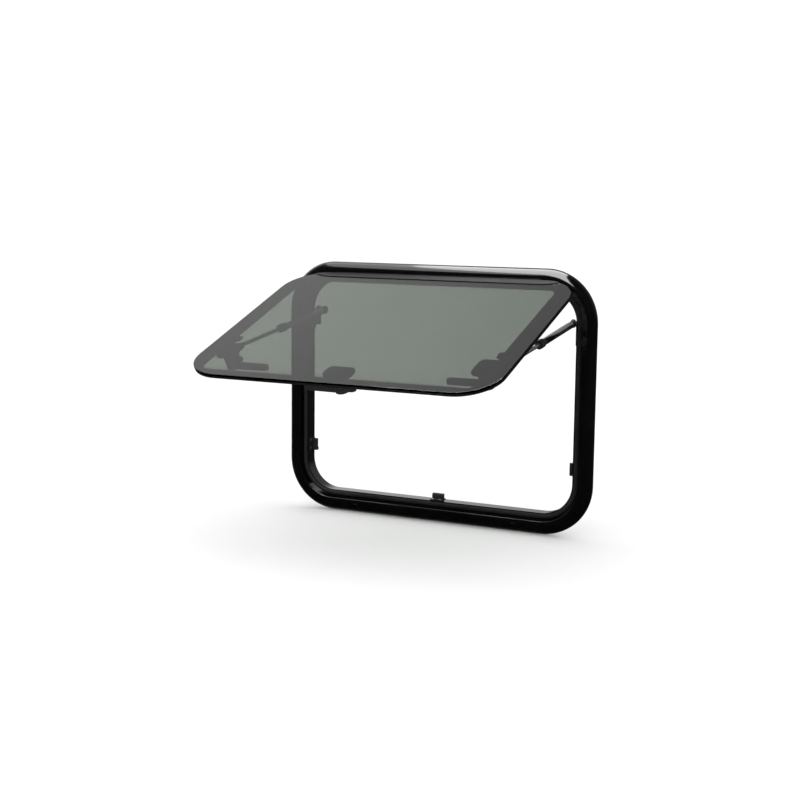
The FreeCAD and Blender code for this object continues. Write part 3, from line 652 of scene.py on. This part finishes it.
# ---- geometry nodes -----------------------------------------------------------------------------
class Recipe:
    """A Geometry Nodes tree with named inputs."""

    def __init__(self, name: str) -> None:
        """Starts a tree with geometry in and out.

        Args:
            name: the tree's name.
        """
        self.tree = bpy.data.node_groups.new(name, "GeometryNodeTree")
        self.keys: dict[str, str] = {}
        for way in ("OUTPUT", "INPUT"):
            self.tree.interface.new_socket("Geometry", in_out=way, socket_type="NodeSocketGeometry")
        self.inlet = self.tree.nodes.new("NodeGroupInput")
        self.outlet = self.tree.nodes.new("NodeGroupOutput")

    def size(self, name: str, kind: str = "Float") -> Socket:
        """Adds a named input.

        Args:
            name: the input's name.
            kind: its type.

        Returns:
            Its socket inside the tree.
        """
        item = self.tree.interface.new_socket(name, in_out="INPUT", socket_type="NodeSocket" + kind)
        self.keys[name] = item.identifier
        return self.inlet.outputs[name]

    def add(self, kind: str, inputs: dict | None = None, **settings: str) -> bpy.types.Node:
        """Adds a node.

        Args:
            kind: type name, less its GeometryNode prefix unless it starts with Shader or Function.
            inputs: values or sockets by input name or number; a list of sockets all go into one.
            settings: properties of the node.

        Returns:
            The node.
        """
        prefix = "" if kind.startswith(("ShaderNode", "FunctionNode")) else "GeometryNode"
        made = self.tree.nodes.new(prefix + kind)
        for key, value in settings.items():
            setattr(made, key, value)
        for key, value in (inputs or {}).items():
            for item in (value if isinstance(value, list) else [value]):
                if isinstance(item, Socket):
                    self.tree.links.new(item, made.inputs[key])
                else:
                    made.inputs[key].default_value = item
        return made

    def maths(self, operation: str, *terms: float | Socket) -> Socket:
        """One sum of numbers or sockets."""
        return self.add("ShaderNodeMath", dict(enumerate(terms)), operation=operation).outputs[0]

    def vector(self, **parts: float | Socket) -> Socket:
        """A vector from its X, Y and Z, where each is given."""
        return self.add("ShaderNodeCombineXYZ", parts).outputs[0]

    def shifted(self, shape: bpy.types.Node, height: float | Socket) -> Socket:
        """Lifts a shape along Z."""
        return self.add("Transform", {"Geometry": shape.outputs[0],
                                      "Translation": self.vector(Z=height)}).outputs[0]

    def finish(self, shape: bpy.types.Node) -> None:
        """Ends the tree: real geometry, and the material that is its last input.

        Args:
            shape: the node whose geometry comes out.
        """
        stuff = self.size("Material", "Material")
        real = self.add("RealizeInstances", {"Geometry": shape.outputs[0]})
        dressed = self.add("SetMaterial", {"Geometry": real.outputs[0], "Material": stuff})
        self.tree.links.new(dressed.outputs[0], self.outlet.inputs[0])

    def make(self, name: str, source: bpy.types.Mesh, values: dict) -> bpy.types.Mesh:
        """Runs the tree once.

        Args:
            name: the result's name.
            source: the mesh that goes in.
            values: the tree's inputs by name.

        Returns:
            A plain mesh.
        """
        holder = held(name, source)
        modifier = holder.modifiers.new("recipe", "NODES")
        modifier.node_group = self.tree
        for key, value in values.items():
            modifier[self.keys[key]] = value
        return plain_mesh(holder, name)


class RingSweep(Recipe):
    """Carries a closed profile round a rectangle with round corners."""

    corner_steps: int = 20

    def __init__(self) -> None:
        """Builds the tree: the profile comes in, the path is made inside."""
        super().__init__("ring_sweep")
        width = self.size("Width")
        height = self.size("Height")
        radius = self.size("Corner Radius")
        steps = self.size("Corner Steps", "Int")
        path = self.add("CurvePrimitiveQuadrilateral", {"Width": width, "Height": height})
        rounded = self.add("FilletCurve", {"Curve": path.outputs[0], "Radius": radius, "Count": steps,
                                           "Limit Radius": True}, mode="POLY")
        section = self.add("MeshToCurve", {"Mesh": self.inlet.outputs["Geometry"]})
        swept = self.add("CurveToMesh", {"Curve": rounded.outputs[0],
                                         "Profile Curve": section.outputs[0]})
        self.finish(swept)

    def ring(self, name: str, profile: Profile, low: Vector, high: Vector, radius: float,
             finish: bpy.types.Material) -> bpy.types.Mesh:
        """Sweeps a profile round a rectangle that lies in the pane's plane.

        Args:
            name: the mesh's name.
            profile: closed (inset, depth) points.
            low: the rectangle's lowest corner.
            high: its highest corner.
            radius: its corner radius.
            finish: the material.

        Returns:
            The mesh, closed, in the row frame.
        """
        section = bpy.data.meshes.new(name + "_section")
        ends = range(1, len(profile) + 1)
        section.from_pydata([(-inset, -depth, 0.0) for inset, depth in profile],
                            [(end - 1, end % len(profile)) for end in ends], [])
        mesh = self.make(name, section, {"Width": high.x - low.x, "Height": high.z - low.z,
                                         "Corner Radius": radius, "Corner Steps": self.corner_steps,
                                         "Material": finish})
        middle = (low + high) / 2
        upright = Matrix(((1, 0, 0, middle.x), (0, 0, 1, 0), (0, 1, 0, middle.z), (0, 0, 0, 1)))
        return mesh_of(name, outward(reopened(mesh, upright, WELD / 2)))


class DotField(Recipe):
    """Rows of printed dots that shrink from the first row to the last."""

    sides: int = 10
    shrink: float = 0.75         # what a dot of the last row has lost

    def __init__(self) -> None:
        """Builds the tree."""
        super().__init__("dot_field")
        count = self.size("Count", "Int")
        rows = self.size("Rows", "Int")
        pitch = self.size("Pitch")
        dot = self.size("Dot Radius")
        thick = self.size("Thickness")
        length = self.maths("MULTIPLY", self.maths("SUBTRACT", count, 1.0), pitch)
        step = self.maths("MULTIPLY", pitch, math.sqrt(0.75))
        height = self.maths("MULTIPLY", self.maths("SUBTRACT", rows, 1.0), step)
        grid = self.add("MeshGrid", {"Size X": length, "Size Y": height,
                                     "Vertices X": count, "Vertices Y": rows})
        place = self.add("ShaderNodeSeparateXYZ", {0: self.add("InputPosition").outputs[0]})
        half = self.maths("MULTIPLY", height, 0.5)
        row = self.maths("ROUND", self.maths("DIVIDE", self.maths("ADD", place.outputs["Y"], half), step))
        shift = self.maths("MULTIPLY", self.maths("MODULO", row, 2.0), self.maths("MULTIPLY", pitch, 0.5))
        moved = self.add("SetPosition", {"Geometry": grid.outputs[0],
                                         "Offset": self.vector(X=shift, Y=half)})
        share = self.maths("DIVIDE", row, self.maths("MAXIMUM", rows, 1.0))
        scale = self.maths("SUBTRACT", 1.0, self.maths("MULTIPLY", share, self.shrink))
        disc = self.add("MeshCylinder", {"Vertices": self.sides, "Radius": dot, "Depth": thick})
        self.finish(self.add("InstanceOnPoints", {"Points": moved.outputs[0],
                                                  "Instance": disc.outputs[0], "Scale": scale}))


class CrossScrews(Recipe):
    """A pan head with a cross recess at each point, turned to its aim."""

    sides: int = 32
    crown: float = 0.62          # the crown and the recess's arms, as shares of the head's radius
    arm_length: float = 1.1
    arm_width: float = 0.28

    def __init__(self) -> None:
        """Builds the tree."""
        super().__init__("cross_screws")
        radius = self.size("Head Radius")
        height = self.size("Head Height")
        foot = self.maths("MULTIPLY", height, 0.5)
        low = self.add("MeshCylinder", {"Vertices": self.sides, "Radius": radius, "Depth": foot})
        crown = self.add("MeshCone", {"Vertices": self.sides, "Radius Bottom": radius, "Depth": foot,
                                      "Radius Top": self.maths("MULTIPLY", radius, self.crown)})
        low_up = self.shifted(low, self.maths("MULTIPLY", foot, 0.5))
        solid = self.add("MeshBoolean", {1: [low_up, self.shifted(crown, foot)]}, operation="UNION")
        arms = []
        for along, across in ((self.arm_length, self.arm_width), (self.arm_width, self.arm_length)):
            size = self.vector(X=self.maths("MULTIPLY", radius, along),
                               Y=self.maths("MULTIPLY", radius, across), Z=foot)
            arms.append(self.shifted(self.add("MeshCube", {"Size": size}), height))
        cut = self.add("MeshBoolean", {0: solid.outputs[0], 1: arms}, operation="DIFFERENCE")
        aim = self.add("InputNamedAttribute", {"Name": "aim"}, data_type="FLOAT_VECTOR")
        turn = self.add("FunctionNodeAlignRotationToVector", {"Vector": aim.outputs[0]}, axis="Z")
        self.finish(self.add("InstanceOnPoints", {"Points": self.inlet.outputs["Geometry"],
                                                  "Instance": cut.outputs[0],
                                                  "Rotation": turn.outputs[0]}))

    def heads(self, name: str, seats: Sequence[tuple[Vector, Vector]], radius: float, height: float,
              finish: bpy.types.Material) -> bpy.types.Mesh:
        """Sets a head at each seat.

        Args:
            name: the mesh's name.
            seats: (point, direction out of the face) pairs.
            radius: the head's radius.
            height: the head's height.
            finish: the material.

        Returns:
            The mesh, in the row frame.
        """
        source = bpy.data.meshes.new(name + "_seats")
        source.from_pydata([tuple(seat) for seat, _ in seats], [], [])
        aims = source.attributes.new("aim", "FLOAT_VECTOR", "POINT")
        for index, (_, aim) in enumerate(seats):
            aims.data[index].vector = aim
        mesh = self.make(name, source, {"Head Radius": radius, "Head Height": height,
                                        "Material": finish})
        return mesh_of(name, reopened(mesh))


class GripRibs(Recipe):
    """A row of round-backed ribs."""

    sides: int = 12

    def __init__(self) -> None:
        """Builds the tree."""
        super().__init__("grip_ribs")
        count = self.size("Count", "Int")
        pitch = self.size("Pitch")
        radius = self.size("Rib Radius")
        length = self.size("Rib Length")
        row = self.add("MeshLine", {"Count": count, "Offset": self.vector(X=pitch)})
        bar = self.add("MeshCylinder", {"Vertices": self.sides, "Side Segments": 1, "Radius": radius,
                                        "Depth": length})
        lie = self.add("Transform", {"Geometry": bar.outputs[0], "Rotation": (math.pi / 2, 0.0, 0.0)})
        self.finish(self.add("InstanceOnPoints", {"Points": row.outputs[0],
                                                  "Instance": lie.outputs[0]}))


# ---- sub-assemblies -----------------------------------------------------------------------------
@dataclass
class OuterFrame:
    """The frame round the cut-out, with its seals and the joint plate in its sill."""

    finishes: Finishes

    def build(self) -> None:
        """Finishes the frame's own pieces."""
        for node, finish in (("outer_frame", "frame_coat"), ("wall_seal_tape", "butyl"),
                             ("recess_seal", "seal_rubber"), ("frame_splice_plate", "mill_aluminium")):
            dress(node, self.finishes[finish])


@dataclass
class Hinge:
    """The two rails of the piano hinge and the caps on its ends."""

    finishes: Finishes
    edge: float = 0.2 * MM

    def build(self) -> None:
        """Softens and finishes the rails and their caps."""
        for node, body in (("hinge_frame_rail", "frame"), ("hinge_end_cap_left", "frame"),
                           ("hinge_end_cap_right", "frame"), ("hinge_sash_rail", "sash")):
            soft_copy(node, body, self.finishes["hinge_coat"], "hinge_black", self.edge)


@dataclass
class Sash:
    """The glass with its printed border, the rim and the tapes."""

    finishes: Finishes
    corner: float = 73 * MM
    bevel: float = 0.7 * MM
    bevel_turn_in: float = 0.14 * MM    # where the ground edge turns
    bevel_turn_back: float = 0.21 * MM
    print_gap: float = 0.08 * MM
    print_thick: float = 0.04 * MM
    print_film: float = 0.015 * MM      # air between the glass and its print
    border_side: float = 35 * MM
    border_head: float = 40 * MM
    border_sill: float = 21 * MM
    border_corner: float = 16 * MM
    dot_pitch: float = 2.6 * MM
    dot_radius: float = 1.05 * MM
    dot_rows: int = 8
    dot_start: float = 0.6              # of the first row above the border, in pitches
    rim_width: float = 13.4 * MM
    rim_corner_in: float = 0.6 * MM
    rim_edge: float = 0.2 * MM
    rim_lip: float = 0.3 * MM
    rim_bead: float = 1.1 * MM
    rim_back: float = 1.8 * MM
    rim_groove: Groove = Groove(0.9 * MM, 0.3 * MM, 0.8 * MM)
    rim_groove_in: float = 3.3 * MM
    rim_groove_top: float = 0.1 * MM

    def build(self) -> None:
        """Builds the sash's pieces and finishes its tapes."""
        self.glass()
        self.border()
        self.dots()
        self.rim()
        dress("rim_bond_tape", self.finishes["seal_rubber"])
        dress("bond_pads", self.finishes["seal_rubber"])

    def glass(self) -> None:
        """The pane, with ground edges."""
        low, high = PANE.box("sash_glass")
        back = high.y - self.print_gap
        rings = []
        for inset, depth in ((self.bevel, low.y), (self.bevel_turn_in, low.y + self.bevel_turn_back),
                             (0.0, low.y + self.bevel), (0.0, back - self.bevel),
                             (self.bevel_turn_in, back - self.bevel_turn_back), (self.bevel, back)):
            step = Vector((inset, 0.0, inset))
            rings.append(rounded_loop(low + step, high - step, self.corner - inset, depth))
        mesh = mesh_of("glass_pane", skin(rings, False), PANE.opened, 28.0)
        new_piece("glass_pane", mesh, "sash", self.finishes["tinted_glass"], "tinted_glass",
                  "sash_glass")

    def border_box(self) -> tuple[Vector, Vector]:
        """Corners of the clear glass inside the printed border."""
        low, high = PANE.box("sash_glass")
        return (low + Vector((self.border_side, 0.0, self.border_sill)),
                high - Vector((self.border_side, 0.0, self.border_head)))

    def print_front(self) -> float:
        """The print's outer face, on the closed pane."""
        return PANE.box("sash_glass")[1].y - self.print_gap + self.print_film

    def border(self) -> None:
        """The solid part of the print, on the glass's inner face."""
        low, high = PANE.box("sash_glass")
        front = self.print_front()
        back = front + self.print_thick
        edge = Vector((self.bevel, 0.0, self.bevel))
        outer = (low + edge, high - edge, self.corner - self.bevel)
        inner = (*self.border_box(), self.border_corner)
        rings = [rounded_loop(*outer, front), rounded_loop(*inner, front),
                 rounded_loop(*inner, back), rounded_loop(*outer, back)]
        mesh = mesh_of("printed_border", skin(rings, True), PANE.opened)
        new_piece("printed_border", mesh, "sash", self.finishes["frit_enamel"], "rim_black")

    def dots(self) -> None:
        """The rows of dots in which the print fades out above the sill."""
        low, high = self.border_box()
        count = int((high.x - low.x - 2 * self.border_corner) / self.dot_pitch)
        blank = bpy.data.meshes.new("dot_source")
        mesh = DotField().make("printed_dots", blank, {
            "Count": count, "Rows": self.dot_rows, "Pitch": self.dot_pitch,
            "Dot Radius": self.dot_radius, "Thickness": self.print_thick,
            "Material": self.finishes["frit_enamel"]})
        seat = Matrix(((1, 0, 0, (low.x + high.x) / 2 - self.dot_pitch / 4),
                       (0, 0, -1, self.print_front() + self.print_thick / 2),
                       (0, 1, 0, low.z + self.dot_start * self.dot_pitch), (0, 0, 0, 1)))
        made = mesh_of("printed_dots", outward(reopened(mesh)), PANE.opened @ seat)
        new_piece("printed_dots", made, "sash", self.finishes["frit_enamel"], "rim_black")

    def rim(self) -> None:
        """The moulded rim behind the glass's edge, with a soft bead on its inner lip."""
        low, high = PANE.box("sash_rim")
        width, front, back = self.rim_width, low.y, high.y
        profile = [(0.0, front + self.rim_edge), (self.rim_edge, front),
                   (width - self.rim_lip, front), (width, front + self.rim_lip)]
        profile += arc((width - self.rim_bead, back - self.rim_bead), self.rim_bead, 0.0, 90.0, 5)
        profile += self.rim_groove.cut(width - self.rim_groove_in, back - self.rim_groove_top)[::-1]
        profile += arc((self.rim_back, back - self.rim_back), self.rim_back, 90.0, 180.0, 6)
        mesh = RingSweep().ring("rim_moulding", profile, low, high, self.corner - self.rim_corner_in,
                                self.finishes["rim_moulding"])
        mesh.transform(PANE.opened)
        new_piece("rim_moulding", mesh, "sash", self.finishes["rim_moulding"], "rim_black", "sash_rim")


@dataclass
class Stay:
    """A telescopic stay: tube, collar, rod, eyes, pins and brackets."""

    finishes: Finishes
    side: Side
    bracket_edge: float = 0.4 * MM
    wall: float = 1.0 * MM
    tube_edge: float = 0.3 * MM
    neck: Groove = Groove(1.3 * MM, 0.5 * MM, 0.35 * MM)
    neck_at: float = 6.3 * MM
    collar_edge: float = 1.2 * MM
    collar_over_tube: float = 0.02 * MM
    collar_over_rod: float = 0.05 * MM
    collar_past_mouth: float = 0.1 * MM
    grip: Groove = Groove(0.7 * MM, 0.35 * MM, 0.45 * MM)
    grip_count: int = 4
    grip_start: float = 4.2 * MM
    grip_pitch: float = 2.6 * MM
    rod_edge: float = 0.4 * MM
    stop: Groove = Groove(0.9 * MM, 0.5 * MM, 0.4 * MM)
    stop_at: float = 3.9 * MM

    def line(self) -> tuple[Vector, Vector]:
        """The stay's frame pivot and its direction, out along the rod."""
        origin = Vector(joint_row("stay_pivot_" + self.side.label)["pos_m"])
        return origin, -Vector(joint_row("stay_slide_" + self.side.label)["axis"]).normalized()

    def span(self, part: str) -> tuple[float, float, float]:
        """Measures a part of the stay.

        Args:
            part: its node's name, less the side.

        Returns:
            Where it starts and ends along the stay, and its largest radius.
        """
        origin, axis = self.line()
        node = frame["nodes"][part + "_" + self.side.label]
        offsets = [vertex.co - origin for vertex in node.data.vertices]
        along = [offset.dot(axis) for offset in offsets]
        radius = max((offset - axis * place).length for offset, place in zip(offsets, along))
        return min(along), max(along), radius

    def build(self) -> None:
        """Builds and finishes the stay."""
        self.tube()
        self.collar()
        self.rod()
        name = self.side.label
        black = self.finishes["fine_moulding"]
        soft_copy("stay_frame_bracket_" + name, "frame", black, "bracket_black", self.bracket_edge)
        soft_copy("stay_sash_bracket_" + name, "sash", black, "bracket_black", self.bracket_edge)
        for node, finish in (("stay_friction_bush_", "acetal"), ("stay_frame_pin_", "zinc_steel"),
                             ("stay_rod_pin_", "zinc_steel"), ("stay_sash_pin_", "zinc_steel"),
                             ("stay_end_eye_", "fine_moulding"), ("stay_rod_eye_", "fine_moulding")):
            dress(node + name, self.finishes[finish])

    def place(self, piece: str, shape: bmesh.types.BMesh, body: str, finish: str, slot: str,
              node: str) -> None:
        """Makes a turned shape a piece of this stay.

        Args:
            piece: the piece's name, less the side, as with the body and the node.
            shape: the turned shape.
            body: the body that it rides on.
            finish: the name of its finish.
            slot: the record's material slot.
            node: the solid that it stands for.
        """
        name = "_" + self.side.label
        new_piece(piece + name, mesh_of(node, shape, sharp=40.0), body + name, self.finishes[finish],
                  slot, node + name)

    def tube(self) -> None:
        """The tube, with a rolled neck and soft rims."""
        start, end, radius = self.span("stay_tube")
        inner = radius - self.wall
        edge = self.tube_edge
        profile = [(start, inner), (start, radius - edge), (start + edge, radius),
                   *self.neck.cut(start + self.neck_at, radius),
                   (end - edge, radius), (end, radius - edge), (end, inner)]
        self.place("drawn_tube", hollow(profile, *self.line(), 56), "stay_tube", "stay_chrome",
                   "stay_tube_metal", "stay_tube")

    def collar(self) -> None:
        """The collar on the tube's mouth, with grip rings."""
        start, end, radius = self.span("stay_collar")
        _, mouth, tube_radius = self.span("stay_tube")
        step = mouth + self.collar_past_mouth
        bore = self.span("stay_rod")[2] + self.collar_over_rod
        seat = tube_radius + self.collar_over_tube
        edge = self.collar_edge
        profile = [(start, seat), *arc((start + edge, radius - edge), edge, 180.0, 90.0, 5)]
        for ring in range(self.grip_count):
            profile += self.grip.cut(start + self.grip_start + ring * self.grip_pitch, radius)
        profile += arc((end - edge, radius - edge), edge, 90.0, 0.0, 5)
        profile += [(end, bore), (step, bore), (step, seat)]
        self.place("ringed_collar", hollow(profile, *self.line(), 52), "stay_tube", "fine_moulding",
                   "latch_plastic", "stay_collar")

    def rod(self) -> None:
        """The rod, with chamfered ends and a stop groove."""
        start, end, radius = self.span("stay_rod")
        edge = self.rod_edge
        profile = [(start, 0.0), (start, radius - edge), (start + edge, radius),
                   *self.stop.cut(start + self.stop_at, radius),
                   (end - edge, radius), (end, radius - edge), (end, 0.0)]
        self.place("drawn_rod", turned(profile, *self.line(), 44), "stay_rod", "rod_steel",
                   "stay_rod_metal", "stay_rod")


@dataclass
class LeverLatch:
    """A lever latch on the sash with its push button, and the keeper that it shuts behind."""

    finishes: Finishes
    name: str
    handle_way: float
    lever_edge: float = 0.9 * MM
    keeper_edge: float = 0.6 * MM
    ribs: int = 9
    rib_pitch: float = 2.6 * MM
    rib_radius: float = 0.45 * MM
    rib_length: float = 9.0 * MM
    rib_start: float = 44 * MM
    rib_sunk: float = 0.5 * MM

    def build(self) -> None:
        """Builds and finishes the latch."""
        black = self.finishes["fine_moulding"]
        lever = "latch_lever_" + self.name
        soft_copy(lever, lever, black, "latch_plastic", self.lever_edge)
        soft_copy("keeper_" + self.name, "frame", black, "latch_plastic", self.keeper_edge)
        self.grip(lever)
        dress("latch_base_" + self.name, black)
        dress("latch_button_" + self.name, self.finishes["button_moulding"])
        dress("latch_washer_" + self.name, self.finishes["acetal"])
        dress("latch_pivot_screw_" + self.name, self.finishes["zinc_steel"])

    def grip(self, lever: str) -> None:
        """Ribs across the handle's back, near its tip.

        Args:
            lever: the lever's node, which is its body too.
        """
        black = self.finishes["fine_moulding"]
        hub = PANE.closed @ Vector(joint_row("latch_turn_" + self.name)["pos_m"])
        back = PANE.box(lever)[1].y - self.rib_sunk
        mesh = GripRibs().make("grip", bpy.data.meshes.new("grip_source"),
                               {"Count": self.ribs, "Pitch": self.rib_pitch,
                                "Rib Radius": self.rib_radius, "Rib Length": self.rib_length,
                                "Material": black})
        seat = Matrix(((self.handle_way, 0, 0, hub.x + self.handle_way * self.rib_start),
                       (0, 0, 1, back), (0, 1, 0, hub.z), (0, 0, 0, 1)))
        ribs = mesh_of("grip_ribs", outward(reopened(mesh, PANE.opened @ seat)))
        new_piece("grip_ribs_" + self.name, ribs, lever, black, "latch_plastic")


@dataclass
class SmallScrews:
    """The pan-head screws of the stay brackets and the keepers, in the jambs and the sill."""

    finishes: Finishes
    head_radius: float = 3.0 * MM
    head_height: float = 1.2 * MM

    def build(self) -> None:
        """Sets a cross-recessed head at every screw."""
        zinc = self.finishes["zinc_steel"]
        heads = CrossScrews()
        for node, name in (("stay_bracket_screws", "bracket_screw_heads"),
                           ("keeper_screws", "keeper_screw_heads")):
            mesh = heads.heads(name, self.seats(node), self.head_radius, self.head_height, zinc)
            new_piece(name, mesh, "frame", zinc, "zinc_steel", node)

    def seats(self, node: str) -> list[tuple[Vector, Vector]]:
        """Where each screw's head sits, and which way it looks.

        Args:
            node: a node of small screws.

        Returns:
            (foot of the head, direction) pairs.
        """
        seats = []
        for points in self.islands(node):
            low, high = box_of(points)
            middle = (low + high) / 2
            if abs(middle.x) > JAMB_FROM:
                aim = Vector((-math.copysign(1.0, middle.x), 0.0, 0.0))
            else:
                aim = Vector((0.0, 0.0, 1.0))
            reach = abs((high - low).dot(aim)) / 2
            seats.append((middle + aim * (reach - self.head_height), aim))
        return seats

    def islands(self, node: str) -> list[list[Vector]]:
        """The separate solids of a node.

        Args:
            node: the node.

        Returns:
            A list of points for each.
        """
        shape = welded(node)
        left = set(shape.verts)
        found = []
        while left:
            grown = [left.pop()]
            for vertex in grown:
                near = {edge.other_vert(vertex) for edge in vertex.link_edges} & left
                left -= near
                grown.extend(near)
            found.append([vertex.co.copy() for vertex in grown])
        shape.free()
        return found


# ---- studio -------------------------------------------------------------------------------------
@dataclass(frozen=True)
class SoftLight:
    """A soft light that hangs level and faces down.

    It is there for the gloss alone where mirrored is set, and for the light alone where it isn't.
    """

    name: str
    place: Triple
    size: Point
    power: float
    mirrored: bool

    def hang(self) -> None:
        """Puts the light in the scene."""
        data = bpy.data.lights.new(self.name, "AREA")
        data.energy = self.power
        data.shape = "RECTANGLE"
        data.size, data.size_y = self.size
        lamp = bpy.data.objects.new(self.name, data)
        lamp.visible_glossy = self.mirrored
        lamp.visible_diffuse = not self.mirrored
        lamp.matrix_world = Matrix.Translation(self.place)
        bpy.context.scene.collection.objects.link(lamp)


@dataclass(frozen=True)
class Fade:
    """A soft change of the mirrored surround's strength along one axis of its direction."""

    axis: str
    start: float
    end: float
    low: float
    high: float

    def level(self, tree: bpy.types.NodeTree, aim: bpy.types.Node) -> Socket:
        """Adds the fade's node.

        Args:
            tree: the surround's tree.
            aim: the node that gives the direction's axes.

        Returns:
            The strength socket.
        """
        made = tree.nodes.new("ShaderNodeMapRange")
        made.interpolation_type = "SMOOTHSTEP"
        tree.links.new(aim.outputs[self.axis], made.inputs["Value"])
        for key, value in (("From Min", self.start), ("From Max", self.end),
                           ("To Min", self.low), ("To Max", self.high)):
            made.inputs[key].default_value = value
        return made.outputs[0]


@dataclass
class Studio:
    """A pale floor, soft lights and the camera."""

    eye: Vector
    target: Vector
    roll: float
    lens: float
    sensor: float = 36.0
    floor_level: float = -0.2502
    floor_reach: float = 40.0
    surround: float = 1.24
    fades: tuple[Fade, ...] = (Fade("Y", -0.25, 0.55, 0.015, 0.85), Fade("X", -0.62, -0.12, 1.0, 0.22),
                               Fade("Z", -0.1, 0.3, 0.10, 1.0))
    lights: tuple[SoftLight, ...] = (
        SoftLight("key", (-1.2, -1.6, 2.8), (2.4, 2.4), 5.0, False),
        SoftLight("head", (-0.17, -1.45, 1.75), (1.25, 3.9), 92.0, True),
        SoftLight("head_left", (-1.14, -1.45, 1.75), (0.69, 3.9), 13.0, True))

    def build(self) -> None:
        """Sets the stage."""
        self.floor()
        self.world()
        self.camera()
        for light in self.lights:
            light.hang()
        bpy.context.scene.view_settings.view_transform = "Standard"

    def floor(self) -> None:
        """A wide pale floor."""
        mesh = bpy.data.meshes.new("floor")
        corners = ((-1, -1), (1, -1), (1, 1), (-1, 1))
        mesh.from_pydata([(x * self.floor_reach, y * self.floor_reach, self.floor_level)
                          for x, y in corners], [], [(0, 1, 2, 3)])
        floor = bpy.data.objects.new("floor", mesh)
        bpy.context.scene.collection.objects.link(floor)
        paint = Paint("floor")
        paint.constant(Roughness=0.9)
        paint.feed("Base Color", paint.tint(paint.noise(2.0), (0.93, 0.93, 0.93), (0.96, 0.96, 0.96)))
        mesh.materials.append(paint.material)
        floor.visible_glossy = False

    def world(self) -> None:
        """A white surround, with a darker room for the gloss to mirror."""
        world = bpy.data.worlds.new("studio")
        world.use_nodes = True
        tree = world.node_tree
        nodes, links = tree.nodes, tree.links
        aim = nodes.new("ShaderNodeSeparateXYZ")
        links.new(nodes.new("ShaderNodeTexCoord").outputs["Generated"], aim.inputs[0])
        level = self.fades[0].level(tree, aim)
        for fade in self.fades[1:]:
            both = nodes.new("ShaderNodeMath")
            both.operation = "MULTIPLY"
            links.new(level, both.inputs[0])
            links.new(fade.level(tree, aim), both.inputs[1])
            level = both.outputs[0]
        mix = nodes.new("ShaderNodeMix")
        links.new(nodes.new("ShaderNodeLightPath").outputs["Is Glossy Ray"], mix.inputs["Factor"])
        mix.inputs["A"].default_value = self.surround
        links.new(level, mix.inputs["B"])
        background = nodes["Background"]
        background.inputs["Color"].default_value = (1.0, 1.0, 1.0, 1.0)
        links.new(mix.outputs[0], background.inputs["Strength"])
        bpy.context.scene.world = world

    def camera(self) -> None:
        """The camera, looking from the sash's right."""
        data = bpy.data.cameras.new("camera")
        data.lens = self.lens
        data.sensor_width = self.sensor
        camera = bpy.data.objects.new("camera", data)
        look = (self.target - self.eye).to_track_quat("-Z", "Y").to_matrix().to_4x4()
        camera.matrix_world = Matrix.Translation(self.eye) @ look @ Matrix.Rotation(self.roll, 4, "Z")
        bpy.context.scene.collection.objects.link(camera)
        bpy.context.scene.camera = camera


def main() -> None:
    """Builds the window, one sub-assembly after another."""
    logging.basicConfig(level=logging.INFO, format="%(name)s: %(message)s")
    finishes = Finishes()
    OuterFrame(finishes).build()
    Hinge(finishes).build()
    Sash(finishes).build()
    for side in Side:
        Stay(finishes, side).build()
    for name, handle_way in (("left", 1.0), ("right", -1.0), ("sill", -1.0)):
        LeverLatch(finishes, name, handle_way).build()
    SmallScrews(finishes).build()
    Studio(eye=Vector((1.18495, -2.48730, 0.36688)), target=Vector((-0.0784, 0.0, -0.0172)),
           roll=math.radians(0.68), lens=64.46).build()


if __name__ == "__main__":
    main()
